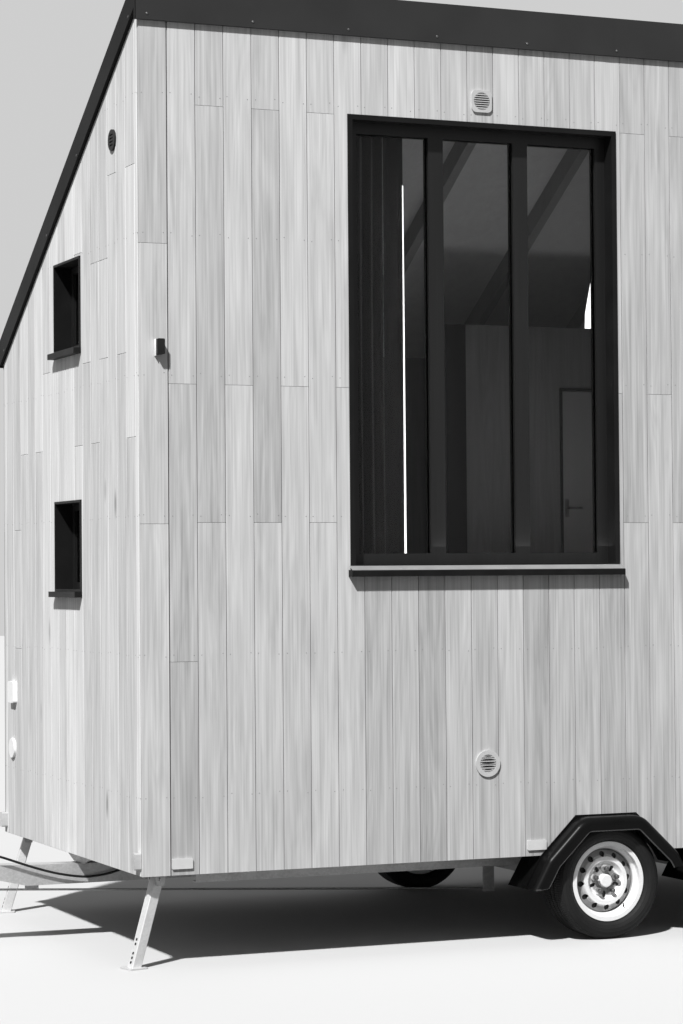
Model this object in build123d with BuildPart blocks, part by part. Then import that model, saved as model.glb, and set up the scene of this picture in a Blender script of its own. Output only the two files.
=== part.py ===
from build123d import *
import os
from math import atan2, cos, degrees, pi, radians, sin, tan

os.makedirs("parts", exist_ok=True)

# Tiny house on a tandem-axle trailer, in millimetres. +Z is up, +X runs from the drawbar
# towards the rear, and the tall wall with the big window faces -Y. The origin lies on the
# ground, in the middle of the length and the width.

# Body
body_length = 4800
body_width = 2190
ground_clearance = 392
wall_thickness = 140
cladding_depth = 46
floor_gap = 50
floor_thickness = 130

# Roof, measured from the lower edge of the cladding
roof_pitch = 32
high_edge_height = 3830
deck_thickness = 76
sheet_thickness = 2
seam_height = 24
seam_width = 12
seam_pitch = 450
rafter_width = 45
rafter_depth = 95
rafter_pitch = 600

# Folded metal trims round the roof
trim_proud = 18
trim_sheet = 3
trim_top_leg = 60
rake_trim_depth = 106
high_trim_height = 175
low_trim_height = 132
trim_clearance = 1

# Big window in the tall wall, measured over its outer trim
window_width = 1340
window_height = 2011
window_from_front = 968
window_above_cladding = 1298
window_trim_face = 20
window_trim_proud = 6
window_setback = 67
window_frame_face = 52
window_frame_depth = 58
window_bars = 2
window_bar_face = 74
surround_sheet = 3
glass_thickness = 24
glass_clearance = 2
sill_thickness = 30
sill_projection = 42
sill_overhang = 9
sill_chamfer = 6

# Small square windows
small_window = 404
small_frame_face = 34
small_frame_depth = 50
small_trim_face = 8
small_setback = 80
small_sill_thickness = 26
small_sill_projection = 36
small_sill_overhang = 10
small_window_from_high_side = 1060
small_upper_below_roof = 635.6
small_lower_centre = 1418
low_wall_window_spots = (1200, 3600)

# Entrance door in the rear end
door_width = 850
door_height = 2000
door_from_high_side = 520
door_frame_face = 50
door_thickness = 54
door_setback = 40
door_gap = 3
door_seat = 0.3
handle_height = 1050
handle_from_edge = 60
handle_plate_width = 36
handle_plate_height = 180
handle_plate_thickness = 8
handle_radius = 9
handle_stand_off = 52
handle_reach = 130

# Room pieces that show through the big window
partition_thickness = 40
partition_from_high_side = 1000
partition_from_front = 1900
partition_height = 2320
inner_door_from_front = 2540
inner_door_width = 650
inner_door_height = 2000
inner_door_gap = 3
curtain_width = 260
curtain_depth = 44
curtain_gap = 14
curtain_sheet = 6
curtain_folds = 4
curtain_overlap = 40
curtain_rise = 30
curtain_drop = 60
curtain_rail_radius = 9
curtain_rail_gap = 0.3
rail_bracket_inset = 30

# Trailer frame
rail_width = 50
rail_depth = 70
rail_from_side = 450
section_wall = 5
member_width = 50
member_depth = 70
member_count = 6
member_end_from_side = 235
first_member_from_front = 400
drawbar_reach = 1400
head_length = 230
beam_width = 100
beam_seat_height = 26
beam_depth = 90
beam_head_depth = 62
beam_neck_depth = 70
beam_head_rise = 21
beam_rise_start = -30
beam_taper_start = 210
beam_neck_start = 385
beam_level_start = 850
beam_run_under_body = 2020
stay_width = 50
stay_clearance = 0.3
stay_front = 450
stay_rear = 1250
front_plate_from_front = 52
front_plate_half_width = 395
front_plate_foot_half = 75
gusset_thickness = 8
head_plate_length = 320
head_plate_width = 120
housing_length = 270
housing_width = 96
housing_height = 84
housing_rounding = 14
shaft_radius = 22
shaft_clearance = 0.3
cup_radius = 38
cup_height = 56
cup_rounding = 14
socket_radius = 25.3
socket_depth = 20
lever_width = 34
lever_length = 170
lever_rise = 38
lever_thickness = 8
brake_rod_radius = 5
rod_drop_front = 37
rod_drop_rear = 108
guide_from_front = 142
guide_length = 63
guide_tall = 22
hanger_width = 30
hanger_lap = 14
hanger_thickness = 8

# Wheels and axles
wheel_radius = 262
tyre_width = 195
tyre_wall = 14
tread_wall = 13
tread_grooves = 3
groove_pitch = 36
groove_width = 6
groove_depth = 6
bead_wall = 22
bead_clearance = 0.3
rim_flange_radius = 182
rim_width = 154
rim_bead_radius = 166
rim_wall = 4
well_radius = 150
disc_offset = 30
dish_ring_radius = 100
dish_ring_width = 16
dish_rise = 20
wheel_from_side = 60
first_axle_from_front = 2226
axle_spacing = 800
axle_count = 2
axle_beam = 80
stub_radius = 17
stub_clearance = 0.5
hub_radius = 40
hub_drum_clearance = 6
drum_radius = 104
drum_depth = 40
drum_recess = 12
vent_holes = 12
vent_hole_radius = 13
vent_circle_radius = 122
vent_turn = 5
nut_count = 5
nut_circle_radius = 56
nut_boss_radius = 16
nut_boss_height = 9
slot_circle_radius = 63
slot_length = 30
slot_width = 17
nut_turn = 18
hub_cap_radius = 30
hub_cap_height = 28
hub_cap_rounding = 6
stub_end_gap = 1

# Mudguards, one over each wheel
guard_sheet = 5
guard_outside = 90
guard_inside = 186
guard_top = 300
guard_band = 58
guard_inner_edge = 150
guard_tip_overrun = 14
guard_band_overrun = 90
guard_rounding = 34
guard_top_corner = 110
guard_bend_corner = 90
back_plate_thickness = 6
back_plate_margin = 7
well_clearance = 1

# Folding corner legs
leg_tube = 45
leg_wall = 4
leg_foot_from_end = -17
leg_foot_from_side = 68
leg_lean = 17.1
leg_turn = 12
leg_pin_below_cladding = 20
leg_above_pin = 24
leg_pin_radius = 8
leg_side_clearance = 5
foot_size = 90
foot_thickness = 6
bracket_sheet = 6
bracket_length = 70
bracket_below_pin = 26
pin_head = 5
leg_pin_clearance = 0.5
lock_hole_radius = 4.5
lock_hole_first = 22
lock_hole_pitch = 20
lock_hole_steps = (0, 1, 2, 4, 5)
foot_corner = 8

# Small fittings on the walls
square_vent_from_front = 1624
square_vent_above_window = 96
vent_plate = 100
vent_plate_thickness = 9
vent_corner = 22
round_vent_from_front = 1627
round_vent_height = 427
round_vent_radius = 60
louvre_field_radius = 40
louvre_depth = 5
louvre_count = 7
louvre_pitch = 10
louvre_length = 76
louvre_bar = 4
end_vent_from_high_side = 353
end_vent_below_roof = 417
end_vent_radius = 47
end_vent_thickness = 9
end_vent_slots = 4
end_vent_pitch = 15
end_vent_slot = 7
power_cover_from_low_side = 190
power_cover_height = 708
power_cover_width = 92
power_cover_tall = 106
power_cover_depth = 22
cover_corner = 10
water_cap_from_low_side = 168
water_cap_height = 430
water_cap_radius = 48
water_cap_depth = 12
outdoor_lamp_from_front = 85
outdoor_lamp_height = 2256
outdoor_lamp_width = 34
outdoor_lamp_tall = 67
outdoor_lamp_corner = 6
outdoor_lamp_base = 12
outdoor_lamp_head = 24
lamp_neck = 4
lamp_neck_step = 7
lamp_from_side = 34
lamp_from_below = 66
lamp_width = 42
lamp_height = 72
lamp_depth = 30
lamp_corner = 7
reflectors_from_front = (178, 1869)
rear_reflector_from_rear = 180
reflector_from_below = 51
reflector_length = 94
reflector_height = 44
reflector_thickness = 9
reflector_corner = 4

# Lighting lead
lead_radius = 5.5
lead_exit_height = -2
gland_length = 18
gland_radius = 10
plug_from_middle = 30
plug_run = 80
plug_above_shaft = 25
plug_neck_length = 26
plug_neck_radius = 9
plug_length = 52
plug_radius = 20
holder_reach = 26
holder_thickness = 6

# Derived places
foot_reach = (foot_size / 2 - foot_corner) * (cos(radians(leg_turn)) + sin(radians(leg_turn))) + foot_corner
rear_reach = max(foot_reach - leg_foot_from_end, small_sill_projection, trim_proud)
total_length = drawbar_reach + body_length + rear_reach
front_x = drawbar_reach - total_length / 2
rear_x = front_x + body_length
high_y = -body_width / 2
low_y = body_width / 2
cladding_z = ground_clearance
floor_under = cladding_z + floor_gap
floor_top = floor_under + floor_thickness
slope = tan(radians(roof_pitch))
axle_z = wheel_radius
frame_top = floor_under - member_depth
member_half_length = body_width / 2 - member_end_from_side
axle_places = [front_x + first_axle_from_front + n * axle_spacing for n in range(axle_count)]


def roof_line(y, depth):
    """Height of the plane that lies this far under the top of the roof trims."""
    return cladding_z + high_edge_height - (y - high_y) * slope - depth / cos(radians(roof_pitch))


def finish(piece, name):
    piece.part.label = name
    export_step(piece.part, f"parts/{name}.step")


# Window places: a plane on the cladding face, its Z pointing out of the house
window_z = cladding_z + window_above_cladding + window_height / 2
window_x = front_x + window_from_front + window_width / 2
window_place = Plane(origin=(window_x, high_y, window_z), x_dir=(1, 0, 0), z_dir=(0, -1, 0))
front_small_y = high_y + small_window_from_high_side
small_upper_z = roof_line(front_small_y, 0) - small_upper_below_roof
small_window_places = [
    Plane(origin=(front_x, front_small_y, small_upper_z), x_dir=(0, -1, 0), z_dir=(-1, 0, 0)),
    Plane(origin=(front_x, front_small_y, cladding_z + small_lower_centre), x_dir=(0, -1, 0), z_dir=(-1, 0, 0)),
    Plane(origin=(rear_x, front_small_y, small_upper_z), x_dir=(0, 1, 0), z_dir=(1, 0, 0)),
]
for spot in low_wall_window_spots:
    low_origin = (front_x + spot, low_y, cladding_z + small_lower_centre)
    small_window_places.append(Plane(origin=low_origin, x_dir=(-1, 0, 0), z_dir=(0, 1, 0)))
front_windows = small_window_places[:2]
rear_windows = small_window_places[2:3]
low_windows = small_window_places[3:]

door_y = high_y + door_from_high_side + door_width / 2
door_place = Plane(origin=(rear_x, door_y, floor_top + door_height / 2), x_dir=(0, 1, 0), z_dir=(1, 0, 0))

# Mudguard outline round the axle, seen from the side, front to rear
guard_outline = [
    (-415, -14),
    (-335, 124),
    (-155, guard_top),
    (150, guard_top),
    (335, 124),
    (372, 62),
]


def wheel_wells(sides):
    """Cut the wheel openings out of the open part, through the walls and the floor edge."""
    for side in sides:
        for x in axle_places:
            wall_spot = (x, side * body_width / 2, axle_z)
            with BuildSketch(Plane(origin=wall_spot, x_dir=(1, 0, 0), z_dir=(0, -1, 0))) as well:
                with BuildLine():
                    Polyline(guard_outline, close=True)
                make_face()
            extrude(well.sketch, amount=guard_inside + well_clearance, both=True, mode=Mode.SUBTRACT)


# Floor panel, inside the cladding
with BuildPart() as floor_panel:
    with BuildSketch(Plane.XY.offset(floor_under)):
        with Locations(((front_x + rear_x) / 2, 0)):
            Rectangle(body_length - 2 * cladding_depth, body_width - 2 * cladding_depth)
    extrude(amount=floor_thickness)
    wheel_wells((-1, 1))
finish(floor_panel, "floor")


def side_wall_outline(outer_y, inward):
    """Wall section in YZ: the cladding hangs past the floor, the frame stands on it."""
    inner_y = outer_y + inward * wall_thickness
    lap_y = outer_y + inward * cladding_depth
    return [
        (outer_y, cladding_z),
        (outer_y, roof_line(outer_y, rake_trim_depth)),
        (inner_y, roof_line(inner_y, rake_trim_depth)),
        (inner_y, floor_top),
        (lap_y, floor_top),
        (lap_y, cladding_z),
    ]


with BuildPart() as high_side_wall:
    with BuildSketch(Plane.YZ.offset(front_x)):
        with BuildLine():
            Polyline(side_wall_outline(high_y, 1), close=True)
        make_face()
    extrude(amount=body_length)
    with BuildSketch(window_place):
        Rectangle(window_width - 2 * window_trim_face, window_height - 2 * window_trim_face)
    extrude(amount=-wall_thickness, mode=Mode.SUBTRACT)
    wheel_wells((-1,))
finish(high_side_wall, "high_side_wall")

with BuildPart() as low_side_wall:
    with BuildSketch(Plane.YZ.offset(front_x)):
        with BuildLine():
            Polyline(side_wall_outline(low_y, -1), close=True)
        make_face()
    extrude(amount=body_length)
    for place in low_windows:
        with BuildSketch(place):
            Rectangle(small_window, small_window)
        extrude(amount=-wall_thickness, mode=Mode.SUBTRACT)
    wheel_wells((1,))
finish(low_side_wall, "low_side_wall")

wall_inner_high = high_y + wall_thickness
wall_inner_low = low_y - wall_thickness
end_wall_outline = [
    (wall_inner_high, floor_top),
    (wall_inner_high, roof_line(wall_inner_high, rake_trim_depth)),
    (wall_inner_low, roof_line(wall_inner_low, rake_trim_depth)),
    (wall_inner_low, floor_top),
]
lap_high = high_y + cladding_depth
lap_low = low_y - cladding_depth
skirt_outline = [
    (lap_high, cladding_z),
    (lap_high, floor_top),
    (lap_low, floor_top),
    (lap_low, cladding_z),
]


def end_wall(outer_x, inward):
    """One end wall standing on the floor, its cladding hanging past it."""
    for outline, depth in ((end_wall_outline, wall_thickness), (skirt_outline, cladding_depth)):
        with BuildSketch(Plane.YZ.offset(outer_x)) as section:
            with BuildLine():
                Polyline(outline, close=True)
            make_face()
        extrude(section.sketch, amount=inward * depth)


with BuildPart() as drawbar_end_wall:
    end_wall(front_x, 1)
    for place in front_windows:
        with BuildSketch(place):
            Rectangle(small_window, small_window)
        extrude(amount=-wall_thickness, mode=Mode.SUBTRACT)
finish(drawbar_end_wall, "drawbar_end_wall")

with BuildPart() as rear_end_wall:
    end_wall(rear_x, -1)
    for place in rear_windows:
        with BuildSketch(place):
            Rectangle(small_window, small_window)
        extrude(amount=-wall_thickness, mode=Mode.SUBTRACT)
    with BuildSketch(door_place):
        Rectangle(door_width, door_height)
    extrude(amount=-wall_thickness, mode=Mode.SUBTRACT)
finish(rear_end_wall, "rear_end_wall")


def roof_slab(top_depth, thickness, x_start, x_end):
    """Slab between the wall faces that follows the roof slope."""
    outline = [
        (high_y, roof_line(high_y, top_depth)),
        (low_y, roof_line(low_y, top_depth)),
        (low_y, roof_line(low_y, top_depth + thickness)),
        (high_y, roof_line(high_y, top_depth + thickness)),
    ]
    with BuildSketch(Plane.YZ.offset(x_start)) as section:
        with BuildLine():
            Polyline(outline, close=True)
        make_face()
    extrude(section.sketch, amount=x_end - x_start)


deck_top = rake_trim_depth - deck_thickness
with BuildPart() as roof_deck:
    roof_slab(deck_top, deck_thickness, front_x, rear_x)
finish(roof_deck, "roof_deck")

seam_count = int((body_length - 2 * trim_top_leg) // seam_pitch)
seam_start = (front_x + rear_x) / 2 - (seam_count - 1) * seam_pitch / 2
with BuildPart() as roof_sheet:
    roof_slab(deck_top - sheet_thickness, sheet_thickness, front_x, rear_x)
    for n in range(seam_count):
        seam_x = seam_start + n * seam_pitch - seam_width / 2
        roof_slab(deck_top - sheet_thickness - seam_height, seam_height, seam_x, seam_x + seam_width)
finish(roof_sheet, "roof_sheet")

rafter_count = int((body_length - 2 * wall_thickness) // rafter_pitch)
rafter_start = (front_x + rear_x) / 2 - (rafter_count - 1) * rafter_pitch / 2
rafter_outline = [
    (wall_inner_high, roof_line(wall_inner_high, rake_trim_depth)),
    (wall_inner_low, roof_line(wall_inner_low, rake_trim_depth)),
    (wall_inner_low, roof_line(wall_inner_low, rake_trim_depth + rafter_depth)),
    (wall_inner_high, roof_line(wall_inner_high, rake_trim_depth + rafter_depth)),
]
with BuildPart() as rafters:
    for n in range(rafter_count):
        with BuildSketch(Plane.YZ.offset(rafter_start + n * rafter_pitch - rafter_width / 2)):
            with BuildLine():
                Polyline(rafter_outline, close=True)
            make_face()
        extrude(amount=rafter_width)
finish(rafters, "rafters")

# Roof trims: folded strips with a top leg over the roof edge and a return to the cladding.
# The side trims lie over the rake trims' top legs and end behind their faces.
side_trim_start = front_x - trim_proud + trim_sheet + trim_clearance
side_trim_length = body_length + 2 * (front_x - side_trim_start)


def side_trim_outline(eave_y, outward, height):
    """Section of a side trim in YZ; outward is -1 at the tall wall and 1 at the low one."""
    top = roof_line(eave_y, 0)
    face_y = eave_y + outward * trim_proud
    back_y = face_y - outward * trim_sheet
    leg_y = eave_y - outward * trim_top_leg
    return [
        (face_y, top),
        (face_y, top - height),
        (eave_y, top - height),
        (eave_y, top - height + trim_sheet),
        (back_y, top - height + trim_sheet),
        (back_y, top - trim_sheet),
        (eave_y, top - trim_sheet),
        (leg_y, roof_line(leg_y, 0) - trim_sheet),
        (leg_y, roof_line(leg_y, 0)),
        (eave_y, top),
    ]


with BuildPart() as high_side_roof_trim:
    with BuildSketch(Plane.YZ.offset(side_trim_start)):
        with BuildLine():
            Polyline(side_trim_outline(high_y, -1, high_trim_height), close=True)
        make_face()
    extrude(amount=side_trim_length)
finish(high_side_roof_trim, "high_side_roof_trim")

with BuildPart() as low_side_roof_trim:
    with BuildSketch(Plane.YZ.offset(side_trim_start)):
        with BuildLine():
            Polyline(side_trim_outline(low_y, 1, low_trim_height), close=True)
        make_face()
    extrude(amount=side_trim_length)
finish(low_side_roof_trim, "low_side_roof_trim")

rake_face_outline = [
    (high_y - trim_proud, roof_line(high_y, 0)),
    (high_y, roof_line(high_y, 0)),
    (low_y, roof_line(low_y, 0)),
    (low_y + trim_proud, roof_line(low_y, 0)),
    (low_y + trim_proud, roof_line(low_y, 0) - low_trim_height),
    (low_y, roof_line(low_y, 0) - low_trim_height),
    (low_y, roof_line(low_y, rake_trim_depth)),
    (high_y, roof_line(high_y, rake_trim_depth)),
    (high_y, roof_line(high_y, 0) - high_trim_height),
    (high_y - trim_proud, roof_line(high_y, 0) - high_trim_height),
]
rake_leg_depth = trim_sheet + trim_clearance
with BuildPart() as rake_trims:
    for outer_x, inward in ((front_x - trim_proud, 1), (rear_x + trim_proud, -1)):
        with BuildSketch(Plane.YZ.offset(outer_x)):
            with BuildLine():
                Polyline(rake_face_outline, close=True)
            make_face()
        extrude(amount=inward * trim_sheet)
        leg_end = outer_x + inward * (trim_proud + trim_top_leg)
        roof_slab(rake_leg_depth, trim_sheet, outer_x, leg_end)
        roof_slab(rake_trim_depth - trim_sheet, trim_sheet, outer_x, outer_x + inward * trim_proud)
finish(rake_trims, "rake_trims")

# Big window: a folded surround in the opening, then the frame with its bars, glass and sill
opening_width = window_width - 2 * window_trim_face
opening_height = window_height - 2 * window_trim_face
lining_width = opening_width - 2 * surround_sheet
lining_height = opening_height - 2 * surround_sheet
with BuildPart() as window_surround:
    with BuildSketch(window_place):
        Rectangle(window_width, window_height)
        Rectangle(lining_width, lining_height, mode=Mode.SUBTRACT)
    extrude(amount=window_trim_proud)
    with BuildSketch(window_place):
        Rectangle(opening_width, opening_height)
        Rectangle(lining_width, lining_height, mode=Mode.SUBTRACT)
    extrude(amount=-window_setback)
finish(window_surround, "window_surround")

pane_width = (opening_width - 2 * window_frame_face - window_bars * window_bar_face) / (window_bars + 1)
pane_height = opening_height - 2 * window_frame_face
pane_step = pane_width + window_bar_face
with BuildPart() as window_frame:
    with BuildSketch(window_place.offset(-window_setback)):
        Rectangle(opening_width, opening_height)
        with GridLocations(pane_step, 0, window_bars + 1, 1):
            Rectangle(pane_width, pane_height, mode=Mode.SUBTRACT)
    extrude(amount=-window_frame_depth)
finish(window_frame, "window_frame")

glass_setback = window_setback + (window_frame_depth - glass_thickness) / 2
with BuildPart() as window_glass:
    with BuildSketch(window_place.offset(-glass_setback)):
        with GridLocations(pane_step, 0, window_bars + 1, 1):
            Rectangle(pane_width, pane_height)
    extrude(amount=-glass_thickness)
finish(window_glass, "window_glass")

with BuildPart() as window_sill:
    with BuildSketch(window_place):
        with Locations((0, -window_height / 2 - sill_thickness / 2)):
            Rectangle(window_width + 2 * sill_overhang, sill_thickness)
    extrude(amount=sill_projection)
    chamfer(window_sill.edges().filter_by(Axis.X).sort_by(Axis.Y)[:2].sort_by(Axis.Z)[-1], sill_chamfer)
finish(window_sill, "window_sill")

# Small windows
small_lining = small_window - 2 * surround_sheet
small_sill_centre = -small_window / 2 - small_sill_thickness / 2
with BuildPart() as small_window_surrounds:
    for place in small_window_places:
        with BuildSketch(place):
            Rectangle(small_window, small_window)
            Rectangle(small_lining, small_lining, mode=Mode.SUBTRACT)
        extrude(amount=-small_setback)
        with BuildSketch(place):
            Rectangle(small_window + 2 * small_trim_face, small_window + 2 * small_trim_face)
            Rectangle(small_lining, small_lining, mode=Mode.SUBTRACT)
        extrude(amount=window_trim_proud)
        with BuildSketch(place):
            with Locations((0, small_sill_centre - small_trim_face)):
                Rectangle(small_window + 2 * small_sill_overhang, small_sill_thickness)
        extrude(amount=small_sill_projection)
finish(small_window_surrounds, "small_window_surrounds")

small_pane = small_window - 2 * small_frame_face
with BuildPart() as small_window_frames:
    for place in small_window_places:
        with BuildSketch(place.offset(-small_setback)):
            Rectangle(small_window, small_window)
            Rectangle(small_pane, small_pane, mode=Mode.SUBTRACT)
        extrude(amount=-small_frame_depth)
finish(small_window_frames, "small_window_frames")

small_glass_setback = small_setback + (small_frame_depth - glass_thickness) / 2
with BuildPart() as small_window_glass:
    for place in small_window_places:
        with BuildSketch(place.offset(-small_glass_setback)):
            Rectangle(small_pane, small_pane)
        extrude(amount=-glass_thickness)
finish(small_window_glass, "small_window_glass")

# Entrance door in the rear end, closed
with BuildPart() as door_frame:
    with BuildSketch(door_place.offset(window_trim_proud)):
        Rectangle(door_width, door_height)
        with Locations((0, -door_frame_face / 2)):
            Rectangle(door_width - 2 * door_frame_face, door_height - door_frame_face, mode=Mode.SUBTRACT)
    extrude(amount=-(wall_thickness + window_trim_proud))
finish(door_frame, "door_frame")

leaf_width = door_width - 2 * (door_frame_face + door_gap)
leaf_height = door_height - door_frame_face - door_gap - door_seat
leaf_centre = door_seat + leaf_height / 2 - door_height / 2
with BuildPart() as door:
    with BuildSketch(door_place.offset(-door_setback)):
        with Locations((0, leaf_centre)):
            Rectangle(leaf_width, leaf_height)
    extrude(amount=-door_thickness)
    handle_place = door_place.offset(-door_setback)
    handle_spot = (leaf_width / 2 - handle_from_edge, handle_height - door_height / 2)
    with BuildSketch(handle_place):
        with Locations(handle_spot):
            Rectangle(handle_plate_width, handle_plate_height)
    extrude(amount=handle_plate_thickness)
    with BuildSketch(handle_place):
        with Locations(handle_spot):
            Circle(handle_radius)
    extrude(amount=handle_stand_off)
    with BuildSketch(handle_place.offset(handle_stand_off)):
        with Locations((handle_spot[0] - handle_reach / 2 + handle_radius, handle_spot[1])):
            SlotOverall(handle_reach, 2 * handle_radius)
    extrude(amount=-2 * handle_radius)
finish(door, "door")

# Room pieces behind the glass
partition_y = high_y + partition_from_high_side
partition_x = front_x + partition_from_front
partition_end = rear_x - wall_thickness
partition_middle = (partition_x + partition_end) / 2
inner_door_x = front_x + inner_door_from_front + inner_door_width / 2
inner_door_z = floor_top + inner_door_height / 2
partition_face = Plane(origin=(0, partition_y, 0), x_dir=(1, 0, 0), z_dir=(0, -1, 0))
with BuildPart() as partition:
    with BuildSketch(partition_face):
        with Locations((partition_middle, floor_top + partition_height / 2)):
            Rectangle(partition_end - partition_x, partition_height)
        with Locations((inner_door_x, inner_door_z)):
            Rectangle(inner_door_width, inner_door_height, mode=Mode.SUBTRACT)
    extrude(amount=-partition_thickness)
finish(partition, "partition")

with BuildPart() as inner_door:
    with BuildSketch(partition_face.offset(-inner_door_gap)):
        with Locations((inner_door_x, inner_door_z)):
            Rectangle(inner_door_width, inner_door_height)
    extrude(amount=-(partition_thickness - 2 * inner_door_gap))
finish(inner_door, "inner_door")

# Curtain drawn to the front side of the big window, with soft folds, on a rail
curtain_y = high_y + wall_thickness + curtain_gap + curtain_depth / 2
curtain_start = window_x - opening_width / 2 - curtain_overlap
curtain_top = window_z + opening_height / 2 + curtain_rise
curtain_bottom = window_z - opening_height / 2 - curtain_drop
fold_pitch = curtain_width / curtain_folds
fold_reach = (curtain_depth - curtain_sheet) / 2
fold_points = []
for n in range(2 * curtain_folds + 1):
    fold_points.append((curtain_start + n * fold_pitch / 2, curtain_y + (-1) ** n * fold_reach))
with BuildPart() as curtain:
    with BuildSketch(Plane.XY.offset(curtain_bottom)):
        with BuildLine() as fold_line:
            Spline(fold_points)
        trace(line_width=curtain_sheet)
    extrude(amount=curtain_top - curtain_bottom)
finish(curtain, "curtain")

rail_z = curtain_top + curtain_rail_radius + curtain_rail_gap
curtain_rail_length = opening_width + 2 * curtain_overlap
with BuildPart() as curtain_rail:
    with BuildSketch(Plane.YZ.offset(curtain_start)):
        with Locations((curtain_y, rail_z)):
            Circle(curtain_rail_radius)
    extrude(amount=curtain_rail_length)
    with BuildSketch(Plane.XZ.offset(-wall_inner_high)):
        for bracket_x in (rail_bracket_inset, curtain_rail_length - rail_bracket_inset):
            with Locations((curtain_start + bracket_x, rail_z)):
                Circle(curtain_rail_radius)
    extrude(amount=-(curtain_y - wall_inner_high))
finish(curtain_rail, "curtain_rail")

# Trailer frame: two channel rails under cross members
rail_side = body_width / 2 - rail_from_side - rail_width / 2
rail_start = front_x + first_member_from_front
rail_length = body_length - 2 * first_member_from_front
with BuildPart() as chassis_rails:
    for side in (-1, 1):
        with BuildSketch(Plane.YZ.offset(rail_start)):
            with Locations((side * rail_side, frame_top - rail_depth / 2)):
                Rectangle(rail_width, rail_depth)
            with Locations((side * (rail_side - section_wall), frame_top - rail_depth / 2)):
                Rectangle(rail_width, rail_depth - 2 * section_wall, mode=Mode.SUBTRACT)
        extrude(amount=rail_length)
finish(chassis_rails, "chassis_rails")

member_span = rail_length - member_width
member_step = member_span / (member_count - 1)
member_places = [rail_start + member_width / 2 + n * member_step for n in range(member_count)]
with BuildPart() as cross_members:
    for x in member_places:
        with BuildSketch(Plane.XZ.offset(-member_half_length)):
            with Locations((x, floor_under - member_depth / 2)):
                Rectangle(member_width, member_depth)
            with Locations((x + section_wall, floor_under - member_depth / 2)):
                Rectangle(member_width, member_depth - 2 * section_wall, mode=Mode.SUBTRACT)
        extrude(amount=2 * member_half_length)
finish(cross_members, "cross_members")

# Drawbar: one box beam on the centre line that rises and tapers towards its head. It hangs
# from the cross members on seats, with a stay to each rail and a plate up to the floor.
beam_head = drawbar_reach - head_length
beam_top = frame_top - beam_seat_height
beam_head_top = beam_top + beam_head_rise


def beam_outline(inset):
    """Side view of the beam in XZ, its top and underside moved inwards where inset is set."""
    return [
        (front_x + beam_run_under_body, beam_top - inset),
        (front_x - beam_rise_start, beam_top - inset),
        (front_x - beam_level_start, beam_head_top - inset),
        (front_x - beam_head + inset, beam_head_top - inset),
        (front_x - beam_head + inset, beam_head_top - beam_head_depth + inset),
        (front_x - beam_level_start, beam_head_top - beam_head_depth + inset),
        (front_x - beam_neck_start, beam_head_top - beam_neck_depth + inset),
        (front_x - beam_taper_start, beam_top - beam_depth + inset),
        (front_x + beam_run_under_body, beam_top - beam_depth + inset),
    ]


def stay_outline(side, inset):
    """Plan of one stay, from the beam's side to the inside of a rail's web."""
    near = side * beam_width / 2
    far = side * (rail_side + rail_width / 2 - section_wall)
    half = (stay_width / 2 - inset) / sin(atan2(abs(far - near), stay_rear - stay_front))
    return [
        (front_x + stay_front - half, near),
        (front_x + stay_front + half, near),
        (front_x + stay_rear + half, far),
        (front_x + stay_rear - half, far),
    ]


stay_top = beam_top
stay_bottom = frame_top - rail_depth + section_wall
with BuildPart() as drawbar_arms:
    with BuildSketch(Plane.XZ):
        with BuildLine():
            Polyline(beam_outline(0), close=True)
        make_face()
    extrude(amount=beam_width / 2, both=True)
    with BuildSketch(Plane.XZ):
        with BuildLine():
            Polyline(beam_outline(section_wall), close=True)
        make_face()
    extrude(amount=beam_width / 2 - section_wall, both=True, mode=Mode.SUBTRACT)
    for x in member_places[:3]:
        with BuildSketch(Plane.XY.offset(beam_top)):
            with Locations((x, 0)):
                Rectangle(member_width, beam_width)
        extrude(amount=beam_seat_height)
    for side in (-1, 1):
        with BuildSketch(Plane.XY.offset(stay_bottom)):
            with BuildLine():
                Polyline(stay_outline(side, 0), close=True)
            make_face()
        extrude(amount=stay_top - stay_bottom)
        with BuildSketch(Plane.XY.offset(stay_bottom + section_wall)):
            with BuildLine():
                Polyline(stay_outline(side, section_wall), close=True)
            make_face()
        extrude(amount=stay_top - stay_bottom - 2 * section_wall, mode=Mode.SUBTRACT)
    with BuildSketch(Plane.YZ.offset(front_x + front_plate_from_front)):
        with BuildLine():
            Polyline(
                (-front_plate_half_width, floor_under),
                (front_plate_half_width, floor_under),
                (front_plate_foot_half, beam_top),
                (-front_plate_foot_half, beam_top),
                close=True,
            )
        make_face()
    extrude(amount=gusset_thickness)
finish(drawbar_arms, "drawbar_arms")

# Plate on the beam's head, the overrun housing on it and the ball coupling
head_plate_front = front_x - beam_head
head_plate_rear = head_plate_front + head_plate_length
with BuildPart() as head_plate:
    with BuildSketch(Plane.XY.offset(beam_head_top)):
        with Locations(((head_plate_front + head_plate_rear) / 2, 0)):
            Rectangle(head_plate_length, head_plate_width)
    extrude(amount=gusset_thickness)
finish(head_plate, "head_plate")

housing_base = beam_head_top + gusset_thickness
housing_middle = (head_plate_front + head_plate_rear) / 2
shaft_z = housing_base + housing_height / 2
with BuildPart() as overrun_housing:
    with BuildSketch(Plane.YZ.offset(housing_middle - housing_length / 2)):
        with Locations((0, shaft_z)):
            RectangleRounded(housing_width, housing_height, housing_rounding)
    extrude(amount=housing_length)
    with BuildSketch(Plane.YZ.offset(housing_middle - housing_length / 2)):
        with Locations((0, shaft_z)):
            Circle(shaft_radius + shaft_clearance)
    extrude(amount=housing_length, mode=Mode.SUBTRACT)
finish(overrun_housing, "overrun_housing")

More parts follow.
